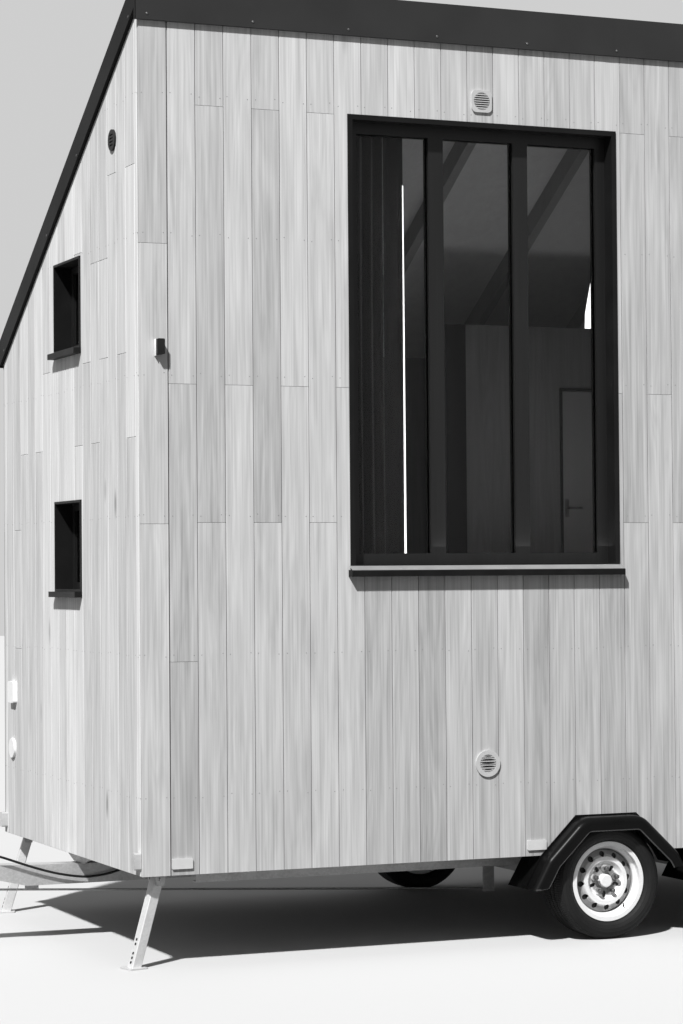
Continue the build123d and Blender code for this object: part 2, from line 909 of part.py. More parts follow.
ball_x = front_x - drawbar_reach + cup_radius
cup_top = shaft_z + shaft_radius
socket_mouth = cup_top - cup_height
with BuildPart() as coupling_head:
    with BuildSketch(Plane.XY.offset(socket_mouth)):
        with Locations((ball_x, 0)):
            Circle(cup_radius)
    extrude(amount=cup_height)
    fillet(coupling_head.faces().sort_by(Axis.Z)[-1].edges(), cup_rounding)
    with BuildSketch(Plane.YZ.offset(ball_x)):
        with Locations((0, shaft_z)):
            Circle(shaft_radius)
    extrude(amount=housing_middle + housing_length / 2 - ball_x)
    with BuildSketch(Plane.XZ.offset(-lever_width / 2)):
        with BuildLine():
            Polyline(
                (ball_x, cup_top - lever_thickness),
                (ball_x - cup_radius / 2, cup_top + lever_rise),
                (ball_x + lever_length, cup_top + lever_rise),
                (ball_x + lever_length, cup_top + lever_rise - lever_thickness),
                (ball_x + cup_radius, cup_top + lever_rise - lever_thickness),
                (ball_x + cup_radius, cup_top - lever_thickness),
                close=True,
            )
        make_face()
    extrude(amount=lever_width)
    with BuildSketch(Plane.XY.offset(socket_mouth)):
        with Locations((ball_x, 0)):
            Circle(socket_radius)
    extrude(amount=socket_depth, mode=Mode.SUBTRACT)
finish(coupling_head, "coupling_head")

# Axles: a square beam under the rails with a stub shaft and a brake drum at each end
rail_bottom = frame_top - rail_depth
beam_height = 2 * (rail_bottom - axle_z)
wheel_y = body_width / 2 - wheel_from_side
drum_inner = wheel_y - rim_width / 2 + drum_recess
hub_inner = drum_inner + drum_depth + hub_drum_clearance
stub_end = wheel_y + disc_offset
with BuildPart() as axles:
    for x in axle_places:
        with BuildSketch(Plane.XZ.offset(-drum_inner)):
            with Locations((x, axle_z)):
                Rectangle(axle_beam, beam_height)
        extrude(amount=2 * drum_inner)
        for side in (-1, 1):
            drum_face = Plane(origin=(x, side * drum_inner, axle_z), x_dir=(1, 0, 0), z_dir=(0, side, 0))
            with BuildSketch(drum_face):
                Circle(drum_radius)
            extrude(amount=drum_depth)
            with BuildSketch(drum_face):
                Circle(stub_radius)
            extrude(amount=stub_end - drum_inner)
finish(axles, "axles")

# Brake rod on the centre line, from a hanger under the drawbar's head through a guide to a
# hanger on the first axle
beam_head_under = beam_head_top - beam_head_depth
beam_under = beam_top - beam_depth
rod_front = head_plate_rear - hanger_width
rod_rear = axle_places[0] - axle_beam / 2 - hanger_width
rod_front_z = beam_head_under - rod_drop_front
rod_rear_z = axle_z - beam_height / 2 - rod_drop_rear
rod_direction = Vector(rod_rear - rod_front, 0, rod_rear_z - rod_front_z)
with BuildPart() as brake_rod:
    with BuildSketch(Plane(origin=(rod_front, 0, rod_front_z), z_dir=rod_direction)):
        Circle(brake_rod_radius)
    extrude(amount=rod_direction.length)
    with BuildSketch(Plane.XZ.offset(-hanger_thickness / 2)):
        with Locations((rod_front, (beam_head_under + rod_front_z - hanger_lap) / 2)):
            Rectangle(hanger_width, beam_head_under - rod_front_z + hanger_lap)
        with Locations((front_x - guide_from_front - guide_length / 2, beam_under - guide_tall / 2)):
            Rectangle(guide_length, guide_tall)
        with Locations((rod_rear, (axle_z + rod_rear_z - hanger_lap) / 2)):
            Rectangle(2 * hanger_width, axle_z - rod_rear_z + hanger_lap)
    extrude(amount=hanger_thickness)
finish(brake_rod, "brake_rod")

# Wheels: pressed steel rims with a dished disc, vent holes and a cap, and ribbed tyres.
# Profile points are (radius, distance outwards from the wheel's middle plane).
ends = ["front", "rear"]
sides = {"high_side": -1, "low_side": 1}
barrel_half = rim_width / 2 - rim_wall / 2
seat_line = rim_bead_radius - rim_wall / 2
well_line = well_radius - rim_wall / 2
barrel_line = [
    (rim_flange_radius - rim_wall / 2, barrel_half),
    (seat_line, barrel_half),
    (seat_line, barrel_half - 24),
    (well_line, barrel_half - 40),
    (well_line, -barrel_half + 66),
    (seat_line, -barrel_half + 40),
    (seat_line, -barrel_half),
    (rim_flange_radius - rim_wall / 2, -barrel_half),
]
disc_line = [
    (hub_cap_radius, disc_offset),
    (dish_ring_radius - dish_ring_width / 2 - 18, disc_offset),
    (dish_ring_radius - dish_ring_width / 2, disc_offset + dish_rise),
    (dish_ring_radius + dish_ring_width / 2, disc_offset + dish_rise),
    (vent_circle_radius - vent_hole_radius + 6, disc_offset + 6),
    (vent_circle_radius + vent_hole_radius + 4, disc_offset - 4),
    (well_line, disc_offset - 18),
]
tyre_half = tyre_width / 2
tread_half = tyre_width * 0.38
shoulder_radius = wheel_radius - 8
crown_radius = wheel_radius - 2
bulge_radius = wheel_radius - 46
lip_radius = rim_flange_radius + rim_wall / 2
bead_half = rim_width / 2 - rim_wall - bead_clearance
bead_radius = rim_bead_radius + bead_clearance
cavity = [
    (bead_radius, bead_half - bead_wall),
    (bead_radius + 30, bead_half - bead_wall + 8),
    (bulge_radius, tyre_half - tyre_wall),
    (wheel_radius - tread_wall, tread_half - 8),
]
hub_outer = wheel_y + disc_offset + rim_wall / 2
for side_name, side in sides.items():
    for end_name, x in zip(ends, axle_places):
        wheel_axis = Axis((x, side * wheel_y, axle_z), (0, 1, 0))
        section_plane = Plane(origin=(x, side * wheel_y, axle_z), x_dir=(0, 0, 1), z_dir=(-side, 0, 0))
        hub_plane = Plane(origin=(x, side * hub_inner, axle_z), x_dir=(1, 0, 0), z_dir=(0, side, 0))
        hub_length = hub_outer - hub_inner
        with BuildPart() as rim:
            with BuildSketch(section_plane):
                for line in (barrel_line, disc_line):
                    with BuildLine():
                        Polyline(line)
                        offset(amount=rim_wall / 2, kind=Kind.INTERSECTION, mode=Mode.REPLACE)
                    make_face()
            revolve(axis=wheel_axis)
            with BuildSketch(hub_plane):
                Circle(hub_radius)
            extrude(amount=hub_length)
            with BuildSketch(hub_plane.offset(hub_length)):
                Circle(hub_cap_radius)
            extrude(amount=hub_cap_height)
            cap_edge = rim.edges(Select.LAST).filter_by(GeomType.CIRCLE).sort_by(Axis.Y)
            fillet(cap_edge[0 if side < 0 else -1], hub_cap_rounding)
            with BuildSketch(hub_plane):
                Circle(stub_radius + stub_clearance)
            extrude(amount=hub_length + stub_end_gap, mode=Mode.SUBTRACT)
            with BuildSketch(hub_plane.offset(hub_length)):
                with PolarLocations(vent_circle_radius, vent_holes, start_angle=vent_turn):
                    Circle(vent_hole_radius)
                with PolarLocations(slot_circle_radius, nut_count, start_angle=nut_turn + 180 / nut_count):
                    SlotOverall(slot_length, slot_width)
            extrude(amount=dish_rise, both=True, mode=Mode.SUBTRACT)
            with BuildSketch(hub_plane.offset(hub_length - rim_wall)):
                with PolarLocations(nut_circle_radius, nut_count, start_angle=nut_turn):
                    Circle(nut_boss_radius)
            extrude(amount=rim_wall + nut_boss_height)
        finish(rim, f"{end_name}_{side_name}_rim")
        with BuildPart() as tyre:
            with BuildSketch(section_plane):
                with BuildLine():
                    Line((bead_radius, -bead_half), (bead_radius, bead_half))
                    Line((bead_radius, bead_half), (lip_radius, bead_half))
                    ThreePointArc((lip_radius, bead_half), (bulge_radius, tyre_half), (shoulder_radius, tread_half + 4))
                    Line((shoulder_radius, tread_half + 4), (crown_radius, tread_half - 4))
                    ThreePointArc((crown_radius, tread_half - 4), (wheel_radius, 0), (crown_radius, -tread_half + 4))
                    Line((crown_radius, -tread_half + 4), (shoulder_radius, -tread_half - 4))
                    ThreePointArc((shoulder_radius, -tread_half - 4), (bulge_radius, -tyre_half), (lip_radius, -bead_half))
                    Line((lip_radius, -bead_half), (bead_radius, -bead_half))
                make_face()
                with BuildLine():
                    Polyline(cavity + [(r, -u) for r, u in reversed(cavity)], close=True)
                make_face(mode=Mode.SUBTRACT)
                for n in range(tread_grooves):
                    with Locations((wheel_radius, (n - (tread_grooves - 1) / 2) * groove_pitch)):
                        Rectangle(2 * groove_depth, groove_width, mode=Mode.SUBTRACT)
            revolve(axis=wheel_axis)
        finish(tyre, f"{end_name}_{side_name}_tyre")


# Mudguards: an angular arch with rounded outer edges and a flat back plate on the wall.
# One is made with its axle at the origin and the wall face on XZ, then set over each wheel.
def guard_points(inset, overrun):
    """The guard outline moved inwards, its two ends run on past the tips."""
    moved = []
    for a, b in zip(guard_outline, guard_outline[1:]):
        along = (Vector(*b) - Vector(*a)).normalized()
        inward = Vector(along.Y, -along.X) * inset
        moved.append((Vector(*a) + inward, Vector(*b) + inward, along))
    points = [moved[0][0] - moved[0][2] * overrun]
    for (a, b, along), (c, d, after) in zip(moved, moved[1:]):
        cross = along.X * after.Y - along.Y * after.X
        reach = ((c.X - a.X) * after.Y - (c.Y - a.Y) * after.X) / cross
        points.append(a + along * reach)
    points.append(moved[-1][1] + moved[-1][2] * overrun)
    return [(point.X, point.Y) for point in points]


def guard_loop(inset, overrun):
    """The guard outline with its bends rounded, closed below the tips."""
    points = guard_points(inset, overrun)
    bends = (guard_bend_corner, guard_top_corner, guard_top_corner, guard_bend_corner)
    with BuildLine() as loop:
        FilletPolyline(points, radius=[radius - inset for radius in bends])
        Line(points[-1], points[0])
    return loop.line


guard_depth = guard_inside + guard_outside
with BuildPart() as guard_hollow:
    with BuildSketch(Plane.XZ.offset(guard_sheet - guard_inside)):
        with BuildLine():
            add(guard_loop(guard_sheet, guard_tip_overrun))
        make_face()
    extrude(amount=guard_depth - 2 * guard_sheet)
    rim_edges = guard_hollow.edges().filter_by(Plane.XZ).group_by(Axis.Y)[0]
    fillet(rim_edges.sort_by(SortBy.LENGTH)[:-1], guard_rounding - guard_sheet)

with BuildPart() as guard:
    with BuildSketch(Plane.XZ.offset(-guard_inside)):
        with BuildLine():
            add(guard_loop(0, 0))
        make_face()
    extrude(amount=guard_depth)
    rim_edges = guard.edges().filter_by(Plane.XZ).group_by(Axis.Y)[0]
    fillet(rim_edges.sort_by(SortBy.LENGTH)[:-1], guard_rounding)
    add(guard_hollow.part, mode=Mode.SUBTRACT)
    with BuildSketch(Plane.XZ.offset(guard_outside)):
        with BuildLine():
            add(guard_loop(guard_band, guard_band_overrun))
        make_face()
    extrude(amount=-2 * guard_sheet, mode=Mode.SUBTRACT)
    with BuildSketch(Plane.XZ.offset(-guard_inside)):
        with Locations((0, guard_inner_edge - guard_top)):
            Rectangle(3 * guard_top, 2 * guard_top)
    extrude(amount=2 * guard_sheet, mode=Mode.SUBTRACT)
    with BuildSketch(Plane.XZ):
        with BuildLine():
            Polyline(guard_points(-back_plate_margin, 0), close=True)
        make_face()
        with BuildLine():
            add(guard_loop(guard_sheet / 2, guard_tip_overrun))
        make_face(mode=Mode.SUBTRACT)
    extrude(amount=back_plate_thickness)

low_guard = guard.part.mirror(Plane.XZ)
with BuildPart() as mudguards:
    for x in axle_places:
        with Locations((x, high_y, axle_z)):
            add(guard.part)
        with Locations((x, low_y, axle_z)):
            add(low_guard)
finish(mudguards, "mudguards")

# Folding corner legs: square tubes on pins between bracket cheeks, leaning outwards at rest
pin_z = cladding_z - leg_pin_below_cladding
leg_run = pin_z * tan(radians(leg_lean))
outward_x = cos(radians(leg_turn))
outward_y = sin(radians(leg_turn))
leg_places = {}
for end_name, end in (("front", -1), ("rear", 1)):
    for side_name, side in sides.items():
        end_x = front_x if end < 0 else rear_x
        foot = Vector(end_x - end * leg_foot_from_end, side * (body_width / 2 - leg_foot_from_side), 0)
        lean = Vector(end * outward_x, side * outward_y, 0)
        leg_places[f"{end_name}_{side_name}"] = (foot, lean)

for name, (foot, lean) in leg_places.items():
    pin = foot - lean * leg_run + Vector(0, 0, pin_z)
    hinge = Vector(-lean.Y, lean.X, 0)
    down = (foot - pin).normalized()
    leg_top = Plane(origin=pin - down * leg_above_pin, x_dir=hinge, z_dir=down)
    length = (foot - pin).length + leg_above_pin
    with BuildPart() as leg:
        with BuildSketch(leg_top):
            RectangleRounded(leg_tube, leg_tube, leg_wall)
        extrude(amount=length + leg_tube)
        with BuildSketch(leg_top):
            Rectangle(leg_tube - 2 * leg_wall, leg_tube - 2 * leg_wall)
        extrude(amount=length + leg_tube, mode=Mode.SUBTRACT)
        with BuildSketch(Plane(origin=pin, x_dir=down, z_dir=hinge)):
            Circle(leg_pin_radius + leg_pin_clearance)
        extrude(amount=leg_tube, both=True, mode=Mode.SUBTRACT)
        across = lean - down * lean.dot(down)
        with BuildSketch(Plane(origin=foot - down * lock_hole_first, x_dir=down, z_dir=across)):
            with Locations([(-n * lock_hole_pitch, 0) for n in lock_hole_steps]):
                Circle(lock_hole_radius)
        extrude(amount=leg_tube, both=True, mode=Mode.SUBTRACT)
        split(bisect_by=Plane.XY.offset(foot_thickness), keep=Keep.TOP)
        with BuildSketch(Plane(origin=foot, x_dir=lean, z_dir=(0, 0, 1))):
            RectangleRounded(foot_size, foot_size, foot_corner)
        extrude(amount=foot_thickness)
    finish(leg, f"{name}_leg")

cheek_gap = leg_tube / 2 + leg_side_clearance
with BuildPart() as leg_brackets:
    for name, (foot, lean) in leg_places.items():
        pin = foot - lean * leg_run + Vector(0, 0, pin_z)
        hinge = Vector(-lean.Y, lean.X, 0)
        over_pin = Vector(pin.X, pin.Y, floor_under)
        with BuildSketch(Plane(origin=over_pin, x_dir=lean, z_dir=(0, 0, -1))):
            Rectangle(bracket_length, 2 * (cheek_gap + bracket_sheet))
        extrude(amount=bracket_sheet)
        for turn in (-1, 1):
            with BuildSketch(Plane(origin=over_pin + hinge * turn * cheek_gap, x_dir=(0, 0, -1), z_dir=hinge * turn)):
                with BuildLine():
                    Polyline(
                        (0, bracket_length / 2),
                        (0, -bracket_length / 2),
                        (floor_under - pin_z + bracket_below_pin, -bracket_length / 4),
                        (floor_under - pin_z + bracket_below_pin, bracket_length / 4),
                        close=True,
                    )
                make_face()
            extrude(amount=bracket_sheet)
        with BuildSketch(Plane(origin=pin, x_dir=(0, 0, 1), z_dir=hinge)):
            Circle(leg_pin_radius)
        extrude(amount=cheek_gap + bracket_sheet + pin_head, both=True)
finish(leg_brackets, "leg_brackets")

# Vents, covers, lamps and reflectors on the cladding
square_vent_z = cladding_z + window_above_cladding + window_height + square_vent_above_window
square_vent_spot = (front_x + square_vent_from_front, square_vent_z)
round_vent_spot = (front_x + round_vent_from_front, cladding_z + round_vent_height)
high_face = Plane(origin=(0, high_y, 0), x_dir=(1, 0, 0), z_dir=(0, -1, 0))
with BuildPart() as louvre_vents:
    with BuildSketch(high_face):
        with Locations(square_vent_spot):
            RectangleRounded(vent_plate, vent_plate, vent_corner)
        with Locations(round_vent_spot):
            Circle(round_vent_radius)
    extrude(amount=vent_plate_thickness)
    with BuildSketch(high_face.offset(vent_plate_thickness)):
        with Locations(square_vent_spot):
            Circle(louvre_field_radius)
        with Locations(round_vent_spot):
            Circle(louvre_field_radius)
    extrude(amount=-louvre_depth, mode=Mode.SUBTRACT)
    with BuildSketch(high_face.offset(vent_plate_thickness - louvre_depth)):
        with Locations(square_vent_spot, round_vent_spot):
            with GridLocations(0, louvre_pitch, 1, louvre_count):
                Rectangle(louvre_length, louvre_bar)
    extrude(amount=louvre_depth)
finish(louvre_vents, "louvre_vents")

front_face = Plane(origin=(front_x, 0, cladding_z), x_dir=(0, -1, 0), z_dir=(-1, 0, 0))
end_vent_y = high_y + end_vent_from_high_side
end_vent_spot = (-end_vent_y, roof_line(end_vent_y, 0) - cladding_z - end_vent_below_roof)
with BuildPart() as end_vent:
    with BuildSketch(front_face):
        with Locations(end_vent_spot):
            Circle(end_vent_radius)
    extrude(amount=end_vent_thickness)
    with BuildSketch(front_face.offset(end_vent_thickness)):
        with Locations(end_vent_spot):
            with GridLocations(0, end_vent_pitch, 1, end_vent_slots):
                Rectangle(end_vent_radius, end_vent_slot, mode=Mode.ADD)
    extrude(amount=-louvre_depth, mode=Mode.SUBTRACT)
finish(end_vent, "end_vent")

with BuildPart() as hookup_covers:
    with BuildSketch(front_face):
        with Locations((-(low_y - power_cover_from_low_side), power_cover_height)):
            RectangleRounded(power_cover_width, power_cover_tall, cover_corner)
    extrude(amount=power_cover_depth)
    with BuildSketch(front_face):
        with Locations((-(low_y - water_cap_from_low_side), water_cap_height)):
            Circle(water_cap_radius)
    extrude(amount=water_cap_depth)
finish(hookup_covers, "hookup_covers")

lamp_spot = (front_x + outdoor_lamp_from_front, cladding_z + outdoor_lamp_height)
with BuildPart() as outdoor_lamp:
    with BuildSketch(high_face):
        with Locations(lamp_spot):
            RectangleRounded(outdoor_lamp_width, outdoor_lamp_tall, outdoor_lamp_corner)
    extrude(amount=outdoor_lamp_base)
    with BuildSketch(high_face.offset(outdoor_lamp_base)):
        with Locations(lamp_spot):
            RectangleRounded(outdoor_lamp_width - 2 * lamp_neck_step, outdoor_lamp_tall - 2 * lamp_neck_step, 3)
    extrude(amount=lamp_neck)
    with BuildSketch(high_face.offset(outdoor_lamp_base + lamp_neck)):
        with Locations(lamp_spot):
            RectangleRounded(outdoor_lamp_width, outdoor_lamp_tall, outdoor_lamp_corner)
    extrude(amount=outdoor_lamp_head)
finish(outdoor_lamp, "outdoor_lamp")

rear_face = Plane(origin=(rear_x, 0, cladding_z), x_dir=(0, 1, 0), z_dir=(1, 0, 0))
corner_lamp_y = body_width / 2 - lamp_from_side
with BuildPart() as corner_lamps:
    for face in (front_face, rear_face):
        with BuildSketch(face):
            with Locations((-corner_lamp_y, lamp_from_below), (corner_lamp_y, lamp_from_below)):
                RectangleRounded(lamp_width, lamp_height, lamp_corner)
        extrude(amount=lamp_depth)
finish(corner_lamps, "corner_lamps")

reflector_places = [front_x + x for x in reflectors_from_front] + [rear_x - rear_reflector_from_rear]
low_wall_face = Plane(origin=(0, low_y, 0), x_dir=(-1, 0, 0), z_dir=(0, 1, 0))
with BuildPart() as side_reflectors:
    for x in reflector_places:
        with BuildSketch(high_face):
            with Locations((x, cladding_z + reflector_from_below)):
                RectangleRounded(reflector_length, reflector_height, reflector_corner)
        extrude(amount=reflector_thickness)
        with BuildSketch(low_wall_face):
            with Locations((-x, cladding_z + reflector_from_below)):
                RectangleRounded(reflector_length, reflector_height, reflector_corner)
        extrude(amount=reflector_thickness)
finish(side_reflectors, "side_reflectors")

# Lighting lead: out of a gland in the first cross member, sagging in front of the drawbar's
# near face and up to its plug, which is parked in a holder on the overrun housing
member_face_x = member_places[0] - member_width / 2
housing_side_y = -housing_width / 2
plug_end = Vector(housing_middle + plug_from_middle, housing_side_y - holder_reach, shaft_z + plug_above_shaft)
lead_start = Vector(member_face_x - gland_length, plug_end.Y, cladding_z + lead_exit_height)
lead_route = [
    (front_x + 335, plug_end.Y, cladding_z + lead_exit_height),
    (front_x + 290, plug_end.Y, cladding_z - 42),
    (front_x + 238, plug_end.Y - 1, cladding_z - 79),
    (front_x + 180, plug_end.Y - 1, cladding_z - 94),
    (front_x + 120, plug_end.Y, cladding_z - 104),
    (front_x + 54, plug_end.Y + 1, cladding_z - 107),
    (front_x - 60, plug_end.Y + 1, cladding_z - 88),
    (front_x - 155, plug_end.Y, cladding_z - 61),
    (front_x - 250, plug_end.Y - 2, cladding_z - 28),
    (front_x - 343, plug_end.Y - 3, cladding_z + 7),
    (front_x - 430, plug_end.Y - 3, cladding_z + 28),
    (front_x - 520, plug_end.Y - 2, cladding_z + 40),
    (front_x - 620, plug_end.Y - 1, cladding_z + 46),
    (front_x - 720, plug_end.Y, cladding_z + 49),
    (plug_end.X + plug_run, plug_end.Y, plug_end.Z),
]
with BuildPart() as lead_gland:
    with BuildSketch(Plane(origin=(member_face_x, lead_start.Y, lead_start.Z), z_dir=(-1, 0, 0))):
        RegularPolygon(gland_radius, 6)
    extrude(amount=gland_length)
finish(lead_gland, "lead_gland")

with BuildPart() as lead_plug:
    with BuildSketch(Plane(origin=plug_end, z_dir=(-1, 0, 0))):
        Circle(plug_neck_radius)
    extrude(amount=plug_neck_length)
    with BuildSketch(Plane(origin=plug_end - Vector(plug_neck_length, 0, 0), z_dir=(-1, 0, 0))):
        Circle(plug_radius)
    extrude(amount=plug_length)
finish(lead_plug, "lead_plug")

plug_face = plug_end - Vector(plug_neck_length + plug_length, 0, 0)
with BuildPart() as plug_holder:
    with BuildSketch(Plane(origin=plug_face, z_dir=(-1, 0, 0))):
        Circle(plug_radius)
    extrude(amount=holder_thickness)
    with BuildSketch(Plane.XZ.offset(-housing_side_y)):
        with Locations((plug_face.X - holder_thickness / 2, plug_end.Z)):
            Rectangle(holder_thickness, plug_radius)
    extrude(amount=holder_reach)
finish(plug_holder, "plug_holder")

route = [lead_start] + [Vector(*point) for point in lead_route] + [plug_end]
lead_radii = []
for a, b, c in zip(route, route[1:], route[2:]):
    shorter = min((b - a).length, (c - b).length)
    turn = (b - a).get_angle(c - b)
    lead_radii.append(0.45 * shorter / tan(radians(turn / 2)))
print("lead radii", [round(radius) for radius in lead_radii])
with BuildPart() as lighting_lead:
    with BuildLine():
        lead_line = FilletPolyline(route, radius=lead_radii)
    with BuildSketch(Plane(origin=lead_start, z_dir=lead_line % 0)):
        Circle(lead_radius)
    sweep()
tube_volume = pi * lead_radius**2 * lead_line.length
print("lead volume against its section times its length", round(lighting_lead.part.volume / tube_volume, 4))
finish(lighting_lead, "lighting_lead")
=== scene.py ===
import math
import random
import bpy
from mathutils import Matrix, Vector, geometry


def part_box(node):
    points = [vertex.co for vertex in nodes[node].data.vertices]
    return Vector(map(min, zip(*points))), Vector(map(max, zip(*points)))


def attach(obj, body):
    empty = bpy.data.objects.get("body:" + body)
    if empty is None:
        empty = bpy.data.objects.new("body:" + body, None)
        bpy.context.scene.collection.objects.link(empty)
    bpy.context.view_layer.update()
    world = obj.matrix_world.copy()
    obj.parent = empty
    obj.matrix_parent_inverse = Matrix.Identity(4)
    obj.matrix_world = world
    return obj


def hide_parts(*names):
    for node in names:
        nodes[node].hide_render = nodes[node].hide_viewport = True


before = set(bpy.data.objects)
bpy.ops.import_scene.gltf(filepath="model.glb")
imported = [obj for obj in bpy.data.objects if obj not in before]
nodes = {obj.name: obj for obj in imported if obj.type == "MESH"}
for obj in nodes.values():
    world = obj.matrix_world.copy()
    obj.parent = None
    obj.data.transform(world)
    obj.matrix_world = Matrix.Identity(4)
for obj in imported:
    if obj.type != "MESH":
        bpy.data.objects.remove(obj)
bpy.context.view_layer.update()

print("frame loaded,", len(nodes), "nodes")

# Places that everything else is set against, read from the frame, in metres
wallLow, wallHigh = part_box("high_side_wall")
frontX, rearX = wallLow.x, wallHigh.x
highY, lowY = wallLow.y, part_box("low_side_wall")[1].y
claddingZ = wallLow.z
roofSlope = math.radians(32)


# Camera: the photograph's place and lens
cameraLook = {
    "fromCorner": (-3.4654, -10.5200, 1.2865),  # from the near bottom corner of the boards
    "turn": (91.3366, 0.4269, -22.6527),  # degrees
    "lens": 91.34,
}
bpy.ops.object.select_all(action="DESELECT")
bpy.ops.object.camera_add(
    location=Vector((frontX, highY, claddingZ)) + Vector(cameraLook["fromCorner"]),
    rotation=[math.radians(a) for a in cameraLook["turn"]],
)
camera = bpy.context.object
camera.data.lens = cameraLook["lens"]
camera.data.clip_end = 200
bpy.context.scene.camera = camera
bpy.context.scene.view_settings.view_transform = "Standard"


# Hand tools for modelling
def leaveEdit():
    bpy.ops.object.mode_set(mode="OBJECT")


def enterEdit():
    bpy.ops.object.mode_set(mode="EDIT")


def nothing():
    if bpy.context.object and bpy.context.object.mode != "OBJECT":
        leaveEdit()
    bpy.ops.object.select_all(action="DESELECT")


def only(piece):
    nothing()
    piece.select_set(True)
    bpy.context.view_layer.objects.active = piece


def pick(piece, kind, test):  # leaves edit mode on, with those faces or points selected
    only(piece)
    enterEdit()
    bpy.ops.mesh.select_mode(type=kind)
    bpy.ops.mesh.select_all(action="DESELECT")
    leaveEdit()
    for part in piece.data.polygons if kind == "FACE" else piece.data.vertices:
        part.select = test(part)
    enterEdit()


def pickFaces(piece, test):
    pick(piece, "FACE", lambda face: test(face.center, face.normal))


def pickPoints(piece, test):
    pick(piece, "VERT", lambda point: test(point.co))


def modify(piece, kind, **values):
    only(piece)
    modifier = piece.modifiers.new("shape", kind)
    for key, value in values.items():
        setattr(modifier, key, value)
    bpy.ops.object.modifier_apply(modifier=modifier.name)


def soften(piece, width, segments):
    modify(piece, "BEVEL", width=width, segments=segments)


def place(piece):  # puts the object's place into its mesh
    only(piece)
    bpy.ops.object.transform_apply(location=True, rotation=True, scale=True)


def join(pieces):
    nothing()
    for each in pieces:
        each.select_set(True)
    bpy.context.view_layer.objects.active = pieces[0]
    bpy.ops.object.join()
    return bpy.context.object


def copyAt(piece, move):
    twin = piece.copy()
    twin.data = piece.data.copy()
    bpy.context.scene.collection.objects.link(twin)
    twin.location = piece.location + Vector(move)
    return twin


def finishPiece(piece, name, material, body="house", smooth=30, recalc=True):
    place(piece)
    if recalc:
        enterEdit()
        bpy.ops.mesh.select_all(action="SELECT")
        bpy.ops.mesh.normals_make_consistent(inside=False)
        leaveEdit()
    bpy.ops.object.shade_smooth_by_angle(angle=math.radians(smooth))
    piece.name = name
    piece.data.name = name
    if material:
        piece.data.materials.clear()
        piece.data.materials.append(material)
    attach(piece, body)
    return piece


def cordPiece(name, guides, radius, steps, sides):  # a round cord on a smooth line between these guides
    curve = bpy.data.curves.new(name, "CURVE")
    curve.dimensions = "3D"
    spline = curve.splines.new("NURBS")
    spline.points.add(len(guides) - 1)
    for point, at in zip(spline.points, guides):
        point.co = (*at, 1)
    spline.order_u = 3
    spline.use_endpoint_u = True
    spline.resolution_u = steps
    curve.bevel_depth = radius
    curve.bevel_resolution = sides
    curve.use_fill_caps = True
    piece = bpy.data.objects.new(name, curve)
    bpy.context.scene.collection.objects.link(piece)
    return piece, spline


# Shared effects, as node groups
def newGroup(name, inputs, outputs):  # a vector and plain numbers in, plain numbers out
    group = bpy.data.node_groups.new(name, "ShaderNodeTree")
    group.interface.new_socket(name="Vector", in_out="INPUT", socket_type="NodeSocketVector")
    for label, value in inputs.items():
        socket = group.interface.new_socket(name=label, in_out="INPUT", socket_type="NodeSocketFloat")
        socket.default_value = value
    for label in outputs:
        group.interface.new_socket(name=label, in_out="OUTPUT", socket_type="NodeSocketFloat")
    return group, group.nodes.new("NodeGroupInput").outputs, group.nodes.new("NodeGroupOutput")


def feed(tree, target, inputs):  # links sockets, and sets plain values on the target's own sockets
    for key, value in inputs.items():
        if isinstance(value, bpy.types.NodeSocket):
            tree.links.new(value, target.inputs[key])
        else:
            target.inputs[key].default_value = value
    return target


def node(tree, kind, inputs=None, **values):
    made = tree.nodes.new(kind)
    for key, value in values.items():
        setattr(made, key, value)
    return feed(tree, made, inputs or {})


def mathNode(tree, operation, a, b=0.0):
    return node(tree, "ShaderNodeMath", {0: a, 1: b}, operation=operation).outputs[0]


def times(tree, a, b):
    return mathNode(tree, "MULTIPLY", a, b)


def plus(tree, a, b):
    return mathNode(tree, "ADD", a, b)


def minus(tree, a, b):
    return mathNode(tree, "SUBTRACT", a, b)


def vectorNode(tree, operation, a, b):
    return node(tree, "ShaderNodeVectorMath", {0: a, 1: b}, operation=operation).outputs[0]


def spread(tree, value, low, high, fromLow=0.0, fromHigh=1.0):
    made = node(tree, "ShaderNodeMapRange", {0: value, 1: fromLow, 2: fromHigh, 3: low, 4: high})
    return made.outputs[0]


# Wood that grows along Z: fine streaks, broad bands and arched figure, different on each board
woodGrain, given, out = newGroup("woodGrain", {"Seed": 0.0, "Fine": 240.0, "Broad": 26.0, "Figure": 0.4},
                                 ("Tone", "Height", "Knot"))
seeds = node(woodGrain, "ShaderNodeCombineXYZ", {0: given["Seed"], 1: given["Seed"], 2: given["Seed"]})
shift = vectorNode(woodGrain, "MULTIPLY", seeds.outputs[0], (3.7, 5.1, 11.3))
where = vectorNode(woodGrain, "ADD", given["Vector"], shift)


def grainNoise(stretch, **inputs):
    at = vectorNode(woodGrain, "MULTIPLY", where, stretch)
    return node(woodGrain, "ShaderNodeTexNoise", {"Vector": at, **inputs}).outputs[0]


